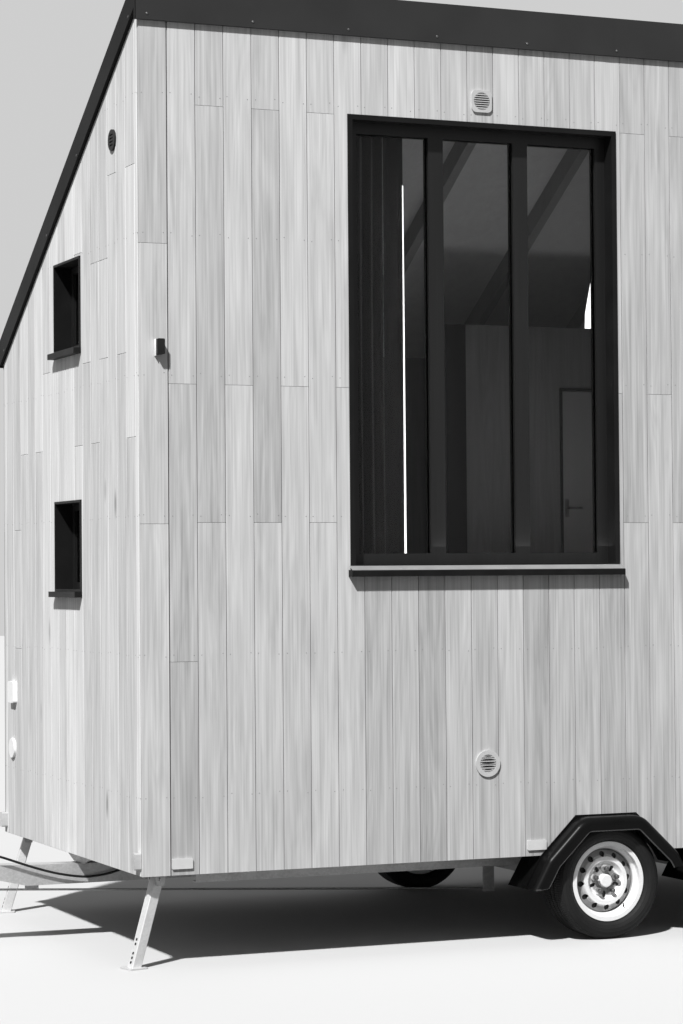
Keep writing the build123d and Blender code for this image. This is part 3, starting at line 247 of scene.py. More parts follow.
fine = grainNoise((1, 1, 0.012), Scale=given["Fine"], Detail=3.0, Roughness=0.6)
broad = grainNoise((1, 1, 0.05), Scale=given["Broad"], Detail=2.0, Roughness=0.5)
bent = grainNoise((9, 9, 0.55), Scale=1.0, Detail=1.0, Distortion=0.6)
rings = spread(woodGrain, mathNode(woodGrain, "SINE", times(woodGrain, bent, 70.0)), 0, 1, -1, 1)
knotAt = vectorNode(woodGrain, "MULTIPLY", where, (9, 9, 2.6))
knots = node(woodGrain, "ShaderNodeTexVoronoi", {"Vector": knotAt, "Scale": 1.0, "Randomness": 1.0}).outputs
rare = spread(woodGrain, knots["Color"], 1, 0, 0.10, 0.18)
knotSpot = times(woodGrain, spread(woodGrain, knots["Distance"], 1, 0, 0.05, 0.20), rare)
figure = times(woodGrain, minus(woodGrain, rings, 0.5), given["Figure"])
tone = plus(woodGrain, times(woodGrain, fine, 0.5), times(woodGrain, broad, 0.5))
tone = plus(woodGrain, tone, times(woodGrain, figure, 0.35))
feed(woodGrain, out, {"Tone": tone, "Height": fine, "Knot": knotSpot})

# Dust and handling: a soft cloud and a scatter of small specks
dust, given, out = newGroup("dust", {"Scale": 6.0, "Specks": 300.0}, ("Cloud", "Speck"))
at = given["Vector"]
cloud = node(dust, "ShaderNodeTexNoise", {"Vector": at, "Scale": given["Scale"], "Detail": 5.0}).outputs[0]
speck = node(dust, "ShaderNodeTexNoise", {"Vector": at, "Scale": given["Specks"], "Detail": 1.0}).outputs[0]
feed(dust, out, {"Cloud": spread(dust, cloud, 0, 1, 0.35, 0.7),
                 "Speck": spread(dust, speck, 0, 1, 0.45, 0.75)})

# Zinc crystals on dipped steel
zinc, given, out = newGroup("zinc", {"Scale": 90.0}, ("Flake", "Stain"))
at = given["Vector"]
flake = node(zinc, "ShaderNodeTexVoronoi", {"Vector": at, "Scale": given["Scale"]}).outputs["Color"]
stain = node(zinc, "ShaderNodeTexNoise", {"Vector": at, "Scale": 9.0, "Detail": 4.0}).outputs[0]
feed(zinc, out, {"Flake": node(zinc, "ShaderNodeSeparateColor", {0: flake}).outputs[0], "Stain": stain})


# Materials. The photograph has no colour, so every tone is a neutral grey.
def newMaterial(name):
    material = bpy.data.materials.new(name)
    material.use_nodes = True
    tree = material.node_tree
    shader = tree.nodes["Principled BSDF"]
    at = node(tree, "ShaderNodeTexCoord").outputs["Object"]
    return material, tree, shader, at


def useGroup(tree, group, **inputs):
    return feed(tree, node(tree, "ShaderNodeGroup", node_tree=group), inputs).outputs


def grey(value):
    return (value, value, value, 1.0)


def tint(tree, factor, low, high):
    return node(tree, "ShaderNodeMix", {0: factor, 6: grey(low), 7: grey(high)}, data_type="RGBA").outputs[2]


def bump(tree, height, distance):
    return node(tree, "ShaderNodeBump", {"Height": height, "Distance": distance}).outputs[0]


def woodMaterial(name, look):
    look = {"boardStep": 0.0, "knots": 0.05, "fine": 200, "broad": 20, "figure": 0.3, "roughness": 0.6,
            "relief": 0.0006, "specular": 0.5, "darkerToGround": 0.0, **look}
    material, tree, shader, at = newMaterial(name)
    board = node(tree, "ShaderNodeAttribute", attribute_name="boardTone").outputs["Fac"]
    grain = useGroup(tree, woodGrain, Vector=at, Seed=board, Fine=look["fine"], Broad=look["broad"],
                     Figure=look["figure"])
    value = plus(tree, times(tree, minus(tree, grain["Tone"], 0.5), look["contrast"]), look["tone"])
    value = plus(tree, value, times(tree, minus(tree, board, 0.5), look["boardStep"]))
    value = minus(tree, value, times(tree, grain["Knot"], look["knots"]))
    if look["darkerToGround"]:  # darker towards the ground, with drawn-out stains
        height = node(tree, "ShaderNodeSeparateXYZ", {0: at}).outputs[2]
        value = plus(tree, value, spread(tree, height, -look["darkerToGround"], look["darkerToGround"], 0.6, 3.9))
        stains = node(tree, "ShaderNodeTexNoise", {"Vector": vectorNode(tree, "MULTIPLY", at, (7, 7, 1.1)),
                                                   "Scale": 1.0, "Detail": 4.0, "Roughness": 0.65}).outputs[0]
        value = minus(tree, value, spread(tree, stains, 0, 0.10, 0.56, 0.72))
    feed(tree, shader, {
        "Base Color": node(tree, "ShaderNodeCombineColor", {0: value, 1: value, 2: value}).outputs[0],
        "Roughness": spread(tree, grain["Height"], look["roughness"] - 0.08, look["roughness"] + 0.08),
        "Specular IOR Level": look["specular"], "Normal": bump(tree, grain["Height"], look["relief"])})
    return material


wood = {
    "cladding": {"tone": 0.545, "darkerToGround": 0.060, "contrast": 0.66, "boardStep": 0.15, "knots": 0.14,
                 "fine": 130, "broad": 42, "figure": 0.16, "roughness": 0.78, "relief": 0.0008},
    # the end wall's boards: the long wall's boards in a lighter tone, partly their own weathering and partly
    # painted light of the sun on that wall
    "endCladdingPaintedLighter": {"tone": 0.70, "darkerToGround": 0.020, "contrast": 0.72, "boardStep": 0.20, "knots": 0.36,
                    "fine": 130, "broad": 42, "figure": 0.16, "roughness": 0.78, "relief": 0.0008},
    "insideBoards": {"tone": 0.125, "contrast": 0.12},
    "ceilingBoards": {"tone": 0.58, "contrast": 0.25},
    "ceilingRafters": {"tone": 0.24, "contrast": 0.12},
    "floorWood": {"tone": 0.20, "contrast": 0.15, "roughness": 0.5},
    "darkFrame": {"specular": 0.22, "tone": 0.013, "contrast": 0.010, "knots": 0.0, "fine": 160, "broad": 14,
                  "figure": 0.2, "roughness": 0.42, "relief": 0.0004},
    "paintedDoor": {"tone": 0.19, "contrast": 0.04, "knots": 0.0, "fine": 160, "broad": 14, "figure": 0.2,
                    "roughness": 0.45, "relief": 0.0003},
}
woods = {name: woodMaterial(name, look) for name, look in wood.items()}


def sheetMaterial(name, look):  # coated sheet, moulded plastic and painted metal
    look = {"roughness": 0.4, "dull": 0.6, "cloud": 9, "specks": 500, "relief": 0.0001, "metal": 0.0,
            "coat": 0.0, "specular": 0.5, **look}
    material, tree, shader, at = newMaterial(name)
    dirt = useGroup(tree, dust, Vector=at, Scale=look["cloud"], Specks=look["specks"])
    mixed = plus(tree, times(tree, dirt["Cloud"], 0.7), times(tree, dirt["Speck"], 0.3))
    feed(tree, shader, {
        "Base Color": tint(tree, mixed, look["tone"], look["dusty"]),
        "Roughness": spread(tree, mixed, look["roughness"], look["dull"]),
        "Metallic": look["metal"], "Coat Weight": look["coat"], "Specular IOR Level": look["specular"],
        "Normal": bump(tree, dirt["Speck"], look["relief"])})
    return material


sheets = {
    "sideTrimMetal": {"specular": 0.22, "tone": 0.026, "dusty": 0.034, "roughness": 0.42, "cloud": 3},
    "endTrimMetal": {"specular": 0.06, "tone": 0.008, "dusty": 0.014, "roughness": 0.42, "cloud": 3},
    "roofMetal": {"tone": 0.035, "dusty": 0.060, "dull": 0.62, "cloud": 2, "specks": 400},
    "surroundMetal": {"specular": 0.1, "tone": 0.009, "dusty": 0.014, "dull": 0.55, "cloud": 6},
    "sillMetal": {"specular": 0.1, "tone": 0.006, "dusty": 0.012, "dull": 0.55, "specks": 400},
    # the sill's sloping top: the sill's dark metal in a light tone, a painted highlight
    "sillTopPaintedHighlight": {"tone": 0.29, "dusty": 0.22, "specks": 400},
    # the mudguard's bead: the guard's black plastic in a lighter tone, a painted highlight along the lip
    "guardBeadPaintedHighlight": {"tone": 0.030, "dusty": 0.050, "roughness": 0.2, "dull": 0.35, "specks": 300,
                  "relief": 0.00005},
    "nailSteel": {"tone": 0.30, "dusty": 0.20, "cloud": 30},
    "ventPlastic": {"tone": 0.62, "dusty": 0.50, "roughness": 0.45, "dull": 0.65, "cloud": 14, "specks": 600,
                    "relief": 0.0002},
    "darkVent": {"specular": 0.2, "tone": 0.010, "dusty": 0.025, "roughness": 0.45, "dull": 0.65, "cloud": 14,
                 "specks": 600, "relief": 0.0002},
    "coverPlastic": {"tone": 0.92, "dusty": 0.86, "cloud": 14, "specks": 600, "relief": 0.0002},
    "lensPlastic": {"tone": 0.55, "dusty": 0.42, "roughness": 0.18, "dull": 0.4, "cloud": 20,
                    "relief": 0.0002, "coat": 0.6},
    "reflectorPlastic": {"tone": 0.68, "dusty": 0.60, "roughness": 0.2, "dull": 0.4, "cloud": 20,
                         "relief": 0.0002, "coat": 0.6},
    "guardPlastic": {"tone": 0.003, "dusty": 0.006, "roughness": 0.26, "dull": 0.36, "cloud": 5,
                     "specks": 240, "relief": 0.00003, "specular": 0.08},
    "lampMetal": {"specular": 0.25, "tone": 0.005, "dusty": 0.012, "roughness": 0.35, "dull": 0.55,
                  "cloud": 20},
    "blackIron": {"specular": 0.3, "tone": 0.010, "dusty": 0.03, "roughness": 0.45, "dull": 0.75, "cloud": 10,
                  "specks": 300, "relief": 0.0004},
    "leadSheath": {"specular": 0.25, "tone": 0.005, "dusty": 0.012, "cloud": 16, "relief": 0.0002},
    "steelDark": {"tone": 0.16, "dusty": 0.08, "roughness": 0.35, "cloud": 30, "relief": 0.0002,
                  "metal": 0.8},
    # black membrane behind the boards; the same black is also painted shade in the vents' openings
    "membraneAndPaintedShade": {"specular": 0.1, "tone": 0.004, "dusty": 0.02, "roughness": 0.8, "dull": 0.95, "cloud": 8,
                 "specks": 300, "relief": 0.0003},
}
coated = {name: sheetMaterial(name, look) for name, look in sheets.items()}


def zincMaterial(name, look):
    material, tree, shader, at = newMaterial(name)
    crystals = useGroup(tree, zinc, Vector=at, Scale=look["scale"])
    mixed = plus(tree, times(tree, crystals["Flake"], look["flake"]),
                 times(tree, crystals["Stain"], 1 - look["flake"]))
    feed(tree, shader, {
        "Base Color": tint(tree, mixed, look["dark"], look["light"]),
        "Roughness": spread(tree, mixed, look["roughness"] + 0.12, look["roughness"] - 0.08),
        "Metallic": look["metal"], "Normal": bump(tree, crystals["Flake"], 0.0001)})
    return material


galvanised = zincMaterial("galvanised", {"scale": 110, "flake": 0.3, "dark": 0.36, "light": 0.62,
                                         "roughness": 0.5, "metal": 0.35})
legSteel = zincMaterial("legSteel", {"scale": 110, "flake": 0.25, "dark": 0.55, "light": 0.80,
                                     "roughness": 0.48, "metal": 0.25})


def glassMaterial(name, look):
    material, tree, shader, at = newMaterial(name)
    dirt = useGroup(tree, dust, Vector=at, Scale=look["cloud"], Specks=260.0)
    feed(tree, shader, {"Base Color": grey(look["tone"]), "IOR": look["bend"], "Transmission Weight": 1.0,
                        "Roughness": spread(tree, dirt["Cloud"], 0.0, look["smear"])})
    return material


paneGlass = glassMaterial("paneGlass", {"tone": 0.62, "cloud": 2.0, "smear": 0.03, "bend": 1.22})


def clothMaterial(name, look):
    material, tree, shader, at = newMaterial(name)
    threads = {"Vector": node(tree, "ShaderNodeTexCoord").outputs["UV"], "Scale": look["threads"]}
    across = node(tree, "ShaderNodeTexWave", threads, bands_direction="X").outputs[1]
    along = node(tree, "ShaderNodeTexWave", threads, bands_direction="Y").outputs[1]
    weave = times(tree, plus(tree, across, along), 0.5)
    feed(tree, shader, {"Base Color": tint(tree, weave, look["dark"], look["light"]), "Roughness": 0.85,
                        "Sheen Weight": 0.2, "Normal": bump(tree, weave, 0.0004)})
    return material


# the cloth is near black: painted shade for a curtain hanging in the dark room
curtainClothPaintedShade = clothMaterial("curtainClothPaintedShade", {"threads": 180, "dark": 0.004, "light": 0.008})
print("materials made")


# Floor, backdrop and lights
def seenRays(tree):  # 1 for what the camera, gloss and glass look at, 0 for light that bounces
    rays = node(tree, "ShaderNodeLightPath").outputs
    mirrored = mathNode(tree, "MAXIMUM", rays["Is Glossy Ray"], rays["Is Transmission Ray"])
    return mathNode(tree, "MAXIMUM", rays["Is Camera Ray"], mirrored)


stageLook = {
    "floor": 0.62,  # as the camera, gloss and glass see it
    "floorBounce": 0.12,  # as it lights the house
    "sky": 0.62,  # as the camera, gloss and glass see it
    "ambient": 0.22,
    "key": 5.1,
    "keySoftness": 2.5,
    "keyFrom": (-0.46, -0.485, 0.745),  # towards the lamp: above, in front and on the drawbar side
}
nothing()
bpy.ops.mesh.primitive_circle_add(vertices=96, radius=60, fill_type="NGON", location=(0, 0, -0.0005))
floor = bpy.context.object
floor.name = "studioFloor"
floorMaterial, tree, shader, at = newMaterial("studioFloor")
feed(tree, shader, {"Base Color": tint(tree, seenRays(tree), stageLook["floorBounce"], stageLook["floor"]),
                    "Roughness": 0.9, "Specular IOR Level": 0.1})
floor.data.materials.append(floorMaterial)

world = bpy.context.scene.world or bpy.data.worlds.new("studio")
bpy.context.scene.world = world
world.use_nodes = True
tree = world.node_tree
tree.nodes.clear()
light = node(tree, "ShaderNodeBackground", {"Color": grey(1.0), "Strength": stageLook["ambient"]})
shown = node(tree, "ShaderNodeBackground", {"Color": grey(stageLook["sky"]), "Strength": 1.0})
mix = node(tree, "ShaderNodeMixShader", {0: seenRays(tree), 1: light.outputs[0], 2: shown.outputs[0]})
feed(tree, node(tree, "ShaderNodeOutputWorld"), {0: mix.outputs[0]})

bpy.ops.object.light_add(type="SUN", location=(-8, -9, 14))
key = bpy.context.object
key.data.energy = stageLook["key"]
key.data.angle = math.radians(stageLook["keySoftness"])
key.rotation_mode = "QUATERNION"
key.rotation_quaternion = Vector(stageLook["keyFrom"]).to_track_quat("Z", "Y")

# A soft lamp inside the room lights the ceiling seen through the tall window
roomLook = {"at": (2.25, 0.20, 1.40), "size": (1.7, 0.35), "power": 6}
bpy.ops.object.light_add(type="AREA", location=Vector((frontX, highY, claddingZ)) + Vector(roomLook["at"]),
                         rotation=(math.radians(180), 0, 0))
roomLamp = bpy.context.object
roomLamp.data.shape = "RECTANGLE"
roomLamp.data.size, roomLamp.data.size_y = roomLook["size"]
roomLamp.data.energy = roomLook["power"]
roomLamp.visible_camera = roomLamp.visible_glossy = roomLamp.visible_transmission = False
print("stage set")


# Finishes for the CAD nodes that stay as they are
def dress(name, material):
    nodes[name].data.materials.clear()
    nodes[name].data.materials.append(material)


finishes = {
    "sideTrimMetal": ("high_side_roof_trim", "low_side_roof_trim"), "endTrimMetal": ("rake_trims",),
    "roofMetal": ("roof_sheet",), "ceilingBoards": ("roof_deck",), "ceilingRafters": ("rafters",),
    "floorWood": ("floor",), "insideBoards": ("partition",), "paintedDoor": ("inner_door",),
    "darkFrame": ("window_frame", "small_window_frames", "door_frame", "door"),
    "surroundMetal": ("window_surround", "small_window_surrounds"), "sillMetal": ("window_sill",),
    "paneGlass": ("window_glass", "small_window_glass"), "steelDark": ("curtain_rail",),
    "ventPlastic": ("louvre_vents",), "darkVent": ("end_vent",), "coverPlastic": ("hookup_covers",),
    "lensPlastic": ("corner_lamps",), "reflectorPlastic": ("side_reflectors",),
    "lampMetal": ("outdoor_lamp",), "leadSheath": ("lead_plug", "lead_gland", "plug_holder"),
    "blackIron": ("overrun_housing", "coupling_head"),
    "galvanised": ("chassis_rails", "cross_members", "drawbar_arms", "head_plate", "axles", "brake_rod",
                   "leg_brackets"),
    "guardPlastic": ("mudguards",),
    "legSteel": [name for name in nodes if name.endswith("_leg")],
}
materials = {**woods, **coated, "paneGlass": paneGlass, "galvanised": galvanised, "legSteel": legSteel}
for material, names in finishes.items():
    for name in names:
        dress(name, materials[material])


def roundAxle(tree, at, centre):  # sideways and upwards from the axle, and the distance from it
    out = node(tree, "ShaderNodeSeparateXYZ", {0: vectorNode(tree, "SUBTRACT", at, tuple(centre))}).outputs
    flat = node(tree, "ShaderNodeCombineXYZ", {0: out[0], 1: out[2]}).outputs[0]
    return out[0], out[2], node(tree, "ShaderNodeVectorMath", {0: flat}, operation="LENGTH").outputs["Value"]


def tyreMaterial(name, centre, look):  # rubber with fine cuts across the tread and thin rings on the wall
    material, tree, shader, at = newMaterial(name)
    dirt = useGroup(tree, dust, Vector=at, Scale=8.0, Specks=300.0)
    sideways, upwards, radius = roundAxle(tree, at, centre)
    angle = mathNode(tree, "ARCTAN2", upwards, sideways)
    cuts = spread(tree, mathNode(tree, "SINE", times(tree, angle, look["cuts"])), 0, 1, -0.4, 0.6)
    cuts = times(tree, cuts, mathNode(tree, "GREATER_THAN", radius, look["treadFrom"]))
    rings = spread(tree, mathNode(tree, "SINE", times(tree, radius, look["rings"])), 0, 1, 0.7, 1)
    rings = times(tree, rings, mathNode(tree, "LESS_THAN", radius, look["treadFrom"]))
    relief = plus(tree, cuts, times(tree, rings, 0.4))
    feed(tree, shader, {
        "Base Color": tint(tree, dirt["Cloud"], look["tone"], look["dusty"]),
        "Roughness": spread(tree, dirt["Speck"], 0.62, 0.85), "Specular IOR Level": look["specular"],
        "Normal": bump(tree, relief, 0.003)})
    return material


def rimMaterial(name, centre, look):  # silver paint, darker round the vents and in the nut well: brake dust, and painted shade in those recesses
    material, tree, shader, at = newMaterial(name)
    dirt = useGroup(tree, dust, Vector=at, Scale=9.0, Specks=260.0)
    radius = roundAxle(tree, at, centre)[2]
    well = times(tree, spread(tree, radius, 1, 0, look["well"], look["well"] + 0.008),
                 spread(tree, radius, 0, 1, look["cap"], look["cap"] + 0.002))
    ring = times(tree, spread(tree, radius, 0, 1, look["ring"][0], look["ring"][0] + 0.010),
                 spread(tree, radius, 1, 0, look["ring"][1] - 0.006, look["ring"][1]))
    # darker in the nut well and round the vents: brake dust and painted shade
    brake = times(tree, mathNode(tree, "MAXIMUM", well, ring), spread(tree, dirt["Cloud"], 0.75, 1.0))
    clean = tint(tree, dirt["Speck"], look["tone"], look["worn"])
    mixed = node(tree, "ShaderNodeMix", {0: brake, 6: clean, 7: grey(look["dusty"])}, data_type="RGBA")
    feed(tree, shader, {"Base Color": mixed.outputs[2], "Roughness": spread(tree, brake, 0.32, 0.6),
                        "Metallic": look["metal"]})
    return material


tyreLook = {"treadFrom": 0.250, "cuts": 150, "rings": 420, "tone": 0.006, "dusty": 0.012, "specular": 0.25}
rimLook = {"well": 0.062, "cap": 0.030, "ring": (0.110, 0.150), "tone": 0.94, "worn": 0.84, "dusty": 0.17,
           "metal": 0.12}
wheels = []  # end, side, which way is outwards, and the tyre's middle
for end in ("front", "rear"):
    low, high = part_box(f"{end}_high_side_tyre")
    rubber = tyreMaterial(f"{end}Tyres", (low + high) / 2, tyreLook)
    paint = rimMaterial(f"{end}Rims", (low + high) / 2, rimLook)
    for side, outward in (("high", -1), ("low", 1)):
        dress(f"{end}_{side}_side_tyre", rubber)
        dress(f"{end}_{side}_side_rim", paint)
        low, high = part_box(f"{end}_{side}_side_tyre")
        wheels.append((end, side, outward, (low + high) / 2))
print("CAD nodes finished,", sum(len(names) for names in finishes.values()) + 2 * len(wheels))


# Cladding: upright boards with butt joints, cut round the windows and wheel openings
cladding = {
    "pitch": 0.1297,
    "gap": 0.0032,
    "buttClose": 0.0009,
    "openSeam": 0.0028,
    "thickness": 0.020,
    "edgeRound": 0.0014,
    "trimLap": 0.010,
    "sideJoints": {0: (1.500, 2.700), 1: (0.910, 2.100)},  # heights where the photograph shows a joint
    "sideEven": (1.506, 3.304),
    "sideOdd": (2.100,),
    "endJoints": {1: (1.874, 3.046), 2: (2.244,), 3: (3.046,), 4: (2.244, 2.684), 5: (1.874, 2.684),
                  6: (2.244,), 7: (1.874, 2.754), 11: (2.244,), 12: (1.874,), 14: (1.874,),
                  15: (0.924, 1.506)},
    "endFirstSeam": 0.056,
    "sideFirstSeam": 0.128,
    "cornerLap": 0.020,
    "flange": 0.018,
    "through": 0.2,  # how far a cutter reaches out of the wall
    "topGap": 0.006,
    "lowTopGap": 0.09,
    "trimTop": 3.830,  # height of the tall side's trim above the boards' lower edge
    "trimDepth": 0.106,
    "smallWindow": 0.404,
    "smallPlaces": {"front": ((1.060, 2.532), (1.060, 1.418)), "rear": ((1.060, 2.532),),
                    "low": ((1.200, 1.418), (3.600, 1.418))},
    "lines": (0.910, 1.506, 2.100, 2.700, 3.304),
    "wheelOutline": ((-0.415, -0.014), (-0.335, 0.124), (-0.155, 0.300), (0.150, 0.300), (0.335, 0.124),
                     (0.372, 0.062)),
    "seed": 4,
}


def sideJoints(column):
    even = cladding["sideEven"] if column % 2 == 0 else cladding["sideOdd"]
    return cladding["sideJoints"].get(column, even)


def hiddenJoints(column):  # walls that the photograph doesn't show: the same lines, taken in turn
    lines = cladding["lines"]
    return (lines[(column * 2) % 3], lines[3 + column % 2]) if column % 2 else (lines[1 + column % 3],)


def roofLine(y, depth):  # height at this place across the house, so far under the top of the trims
    return claddingZ + cladding["trimTop"] - (y - highY) * math.tan(roofSlope) - depth / math.cos(roofSlope)


def seamLines(start, end, firstSeam):  # the wall's ends and every seam between them
    lines = [start]
    seam = firstSeam
    while seam < end - 0.01:
        lines.append(seam)
        seam += cladding["pitch"]
    return lines + [end]


def cutBox(low, high):
    nothing()
    low, high = Vector(low), Vector(high)
    bpy.ops.mesh.primitive_cube_add(size=1, location=(low + high) / 2)
    cutter = bpy.context.object
    cutter.scale = high - low
    place(cutter)
    return cutter


def cutWell(axle, face):
    outline = [(axle.x + x, face, axle.z + z) for x, z in cladding["wheelOutline"]]
    mesh = bpy.data.meshes.new("well")
    mesh.from_pydata(outline, [], [range(len(outline))])
    cutter = bpy.data.objects.new("well", mesh)
    bpy.context.scene.collection.objects.link(cutter)
    modify(cutter, "SOLIDIFY", thickness=0.3, offset=0)
    return cutter


def boardSkin(along, face, outward, start, end, firstSeam, joints, cutters, topHeight):
    middle = (start + end) / 2
    side = along == "x"
    turn = {("x", -1): 0, ("x", 1): 180, ("y", -1): -90, ("y", 1): 90}[along, outward]
    height = topHeight - claddingZ
    centre = (middle, face, claddingZ + height / 2) if side else (face, middle, claddingZ + height / 2)
    nothing()
    bpy.ops.mesh.primitive_plane_add(size=1, location=centre,
                                     rotation=(math.radians(90), 0, math.radians(turn)))
    skin = bpy.context.object
    skin.scale = (end - start, height, 1)
    place(skin)
    bounds = seamLines(start, end, firstSeam)
    enterEdit()
    normal = (1, 0, 0) if side else (0, 1, 0)
    for seam in bounds[1:-1]:
        bpy.ops.mesh.select_all(action="SELECT")
        bpy.ops.mesh.bisect(plane_co=(seam, seam, 0), plane_no=normal)
    if not side:  # the top follows the roof
        bpy.ops.mesh.select_all(action="SELECT")
        lineAt = roofLine(highY, cladding["trimDepth"]) + cladding["trimLap"]
        bpy.ops.mesh.bisect(plane_co=(0, highY, lineAt), clear_outer=True,
                            plane_no=(0, math.sin(roofSlope), math.cos(roofSlope)))
    bpy.ops.mesh.select_all(action="SELECT")
    bpy.ops.mesh.edge_split(type="EDGE")
    for column in range(len(bounds) - 1):
        low, high = bounds[column], bounds[column + 1]
        for joint in joints(column):
            pickFaces(skin, lambda centre, normal: low < (centre.x if side else centre.y) < high)
            bpy.ops.mesh.bisect(plane_co=(0, 0, claddingZ + joint), plane_no=(0, 0, 1))
    bpy.ops.mesh.select_mode(type="FACE")
    bpy.ops.mesh.select_all(action="SELECT")
    bpy.ops.mesh.edge_split(type="EDGE")
    bpy.ops.mesh.select_all(action="SELECT")
    bpy.ops.mesh.inset(thickness=cladding["gap"] / 2, use_individual=True)
    bpy.ops.mesh.select_all(action="INVERT")
    bpy.ops.mesh.delete(type="FACE")
    leaveEdit()
    heights = {joint for column in range(len(bounds) - 1) for joint in joints(column)}
    for joint in sorted(heights):  # ends butt closer than sides
        for way in (-1, 1):
            line = claddingZ + joint + way * cladding["gap"] / 2
            pickPoints(skin, lambda point: abs(point.z - line) < 0.0002)
            bpy.ops.transform.translate(value=(0, 0, -way * cladding["buttClose"]))
    if (along, outward) == ("x", -1):  # the open seam beside the corner board
        line = firstSeam + cladding["gap"] / 2
        pickPoints(skin, lambda point: abs(point.x - line) < 0.0002)
        bpy.ops.transform.translate(value=(cladding["openSeam"], 0, 0))
    leaveEdit()
    modify(skin, "SOLIDIFY", thickness=cladding["thickness"], offset=-1)
    for cutter in cutters:
        modify(skin, "BOOLEAN", operation="DIFFERENCE", object=cutter, solver="EXACT")
    modify(skin, "BEVEL", width=cladding["edgeRound"], segments=1, limit_method="ANGLE",
           angle_limit=math.radians(40))
    picker = random.Random(cladding["seed"])
    tones = {}
    shade = skin.data.attributes.new("boardTone", "FLOAT", "FACE")
    for face in skin.data.polygons:
        across = face.center.x if side else face.center.y
        column = sum(1 for b in bounds[1:] if b < across)
        level = sum(1 for j in joints(column) if claddingZ + j < face.center.z)
        tones.setdefault((column, level), picker.random())
        shade.data[face.index].value = tones[column, level]
    return skin


def windowCutter(low, high, margin, axis):
    low, high = Vector(low), Vector(high)
    grow = Vector((margin, margin, margin))
    grow[axis] = -cladding["through"]
    return cutBox(low + grow, high - grow)


wellCutters = {"high": [], "low": []}
for end, side, outward, centre in wheels:
    wellCutters[side].append(cutWell(centre, highY if side == "high" else lowY))
bigWindow = windowCutter(*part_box("window_surround"), cladding["flange"], 1)
smallWindows = {"front": [], "rear": [], "low": []}
reveal, through = cladding["smallWindow"] / 2, cladding["through"]
for spot, places in cladding["smallPlaces"].items():
    for along, height in places:
        centre = {"front": (frontX, highY + along, height), "rear": (rearX, highY + along, height),
                  "low": (frontX + along, lowY, height)}[spot]
        centre = Vector(centre) + Vector((0, 0, claddingZ))
        reach = Vector((through, reveal, reveal) if spot != "low" else (reveal, through, reveal))
        smallWindows[spot].append(cutBox(centre - reach, centre + reach))
doorLow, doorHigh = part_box("door_frame")
doorHole = cutBox(doorLow - Vector((0.1, 0, 0)), doorHigh + Vector((through, 0, 0)))

skirt = cladding["cornerLap"]
topZ = wallHigh.z - cladding["topGap"]
highBoards = boardSkin("x", highY, -1, frontX, rearX, frontX + cladding["sideFirstSeam"],
                       sideJoints, [bigWindow] + wellCutters["high"], topZ)
print("tall wall boards,", len(highBoards.data.polygons), "faces")
lowBoards = boardSkin("x", lowY, 1, frontX, rearX, frontX + cladding["sideFirstSeam"],
                      hiddenJoints, smallWindows["low"] + wellCutters["low"],
                      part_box("low_side_wall")[1].z - cladding["lowTopGap"])
frontBoards = boardSkin("y", frontX, -1, highY + skirt, lowY - skirt, highY + cladding["endFirstSeam"],
                        lambda column: cladding["endJoints"].get(column, ()), smallWindows["front"], topZ)
rearBoards = boardSkin("y", rearX, 1, highY + skirt, lowY - skirt, highY + cladding["endFirstSeam"],
                       hiddenJoints, smallWindows["rear"] + [doorHole], topZ)
print("end wall boards,", len(frontBoards.data.polygons), "faces")
for tool in [bigWindow, doorHole] + sum(smallWindows.values(), []) + sum(wellCutters.values(), []):
    bpy.data.objects.remove(tool)


def wallCore(source, name, recess):  # the wall behind the boards, with its outer faces set back by a board
    nothing()
    core = bpy.data.objects.new(name, nodes[source].data.copy())
    bpy.context.scene.collection.objects.link(core)
    pickPoints(core, lambda point: True)
    bpy.ops.mesh.remove_doubles(threshold=0.00001)
    for axis, at, step in recess:
        pickPoints(core, lambda point: abs(point[axis] - at) < 0.0005)
        move = Vector((0, 0, 0))
        move[axis] = step
        bpy.ops.transform.translate(value=move)
    finishPiece(core, name, coated["membraneAndPaintedShade"], recalc=False)
    core.data.materials.append(woods["insideBoards"])
    middle = Vector((0, 0, 2.2))
    for face in core.data.polygons:
        inward = face.normal.dot(middle - face.center) > 0
        face.material_index = 1 if inward else 0
    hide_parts(source)
    return core


depth = cladding["thickness"]
ends = [(0, frontX, depth), (0, rearX, -depth)]
wallCore("high_side_wall", "highWallCore", [(1, highY, depth)] + ends)
wallCore("low_side_wall", "lowWallCore", [(1, lowY, -depth)] + ends)
wallCore("drawbar_end_wall", "drawbarEndCore", [(0, frontX, depth)])
wallCore("rear_end_wall", "rearEndCore", [(0, rearX, -depth)])
for piece, name, material, slot in (
    (highBoards, "highWallBoards", "cladding", "wall_boards"),
    (lowBoards, "lowWallBoards", "cladding", "wall_boards"),
    (frontBoards, "drawbarEndBoards", "endCladdingPaintedLighter", "end_wall_boards"),
    (rearBoards, "rearEndBoards", "endCladdingPaintedLighter", "end_wall_boards"),
):
    finishPiece(piece, name, woods[material], smooth=20)
print("cladding laid")


# Nail and screw heads: one master a wall, modelled once and copied
facing = {
    "high": ((90, 0, 0), Vector((0, -1, 0))), "low": ((-90, 0, 0), Vector((0, 1, 0))),
    "front": ((0, -90, 0), Vector((-1, 0, 0))), "rear": ((0, 90, 0), Vector((1, 0, 0))),
}


def makeHead(look, side):
    turn, out = facing[side]
    nothing()
    bpy.ops.mesh.primitive_cylinder_add(vertices=look["sides"], radius=look["radius"], location=(0, 0, 0),
                                        depth=2 * look["stand"], rotation=[math.radians(a) for a in turn])
    made = bpy.context.object
    place(made)
    pickFaces(made, lambda centre, normal: normal.dot(out) > 0.9)
    bpy.ops.mesh.inset(thickness=look["radius"] * 0.35)
    bpy.ops.transform.translate(value=out * look["crown"])
    leaveEdit()
    return made


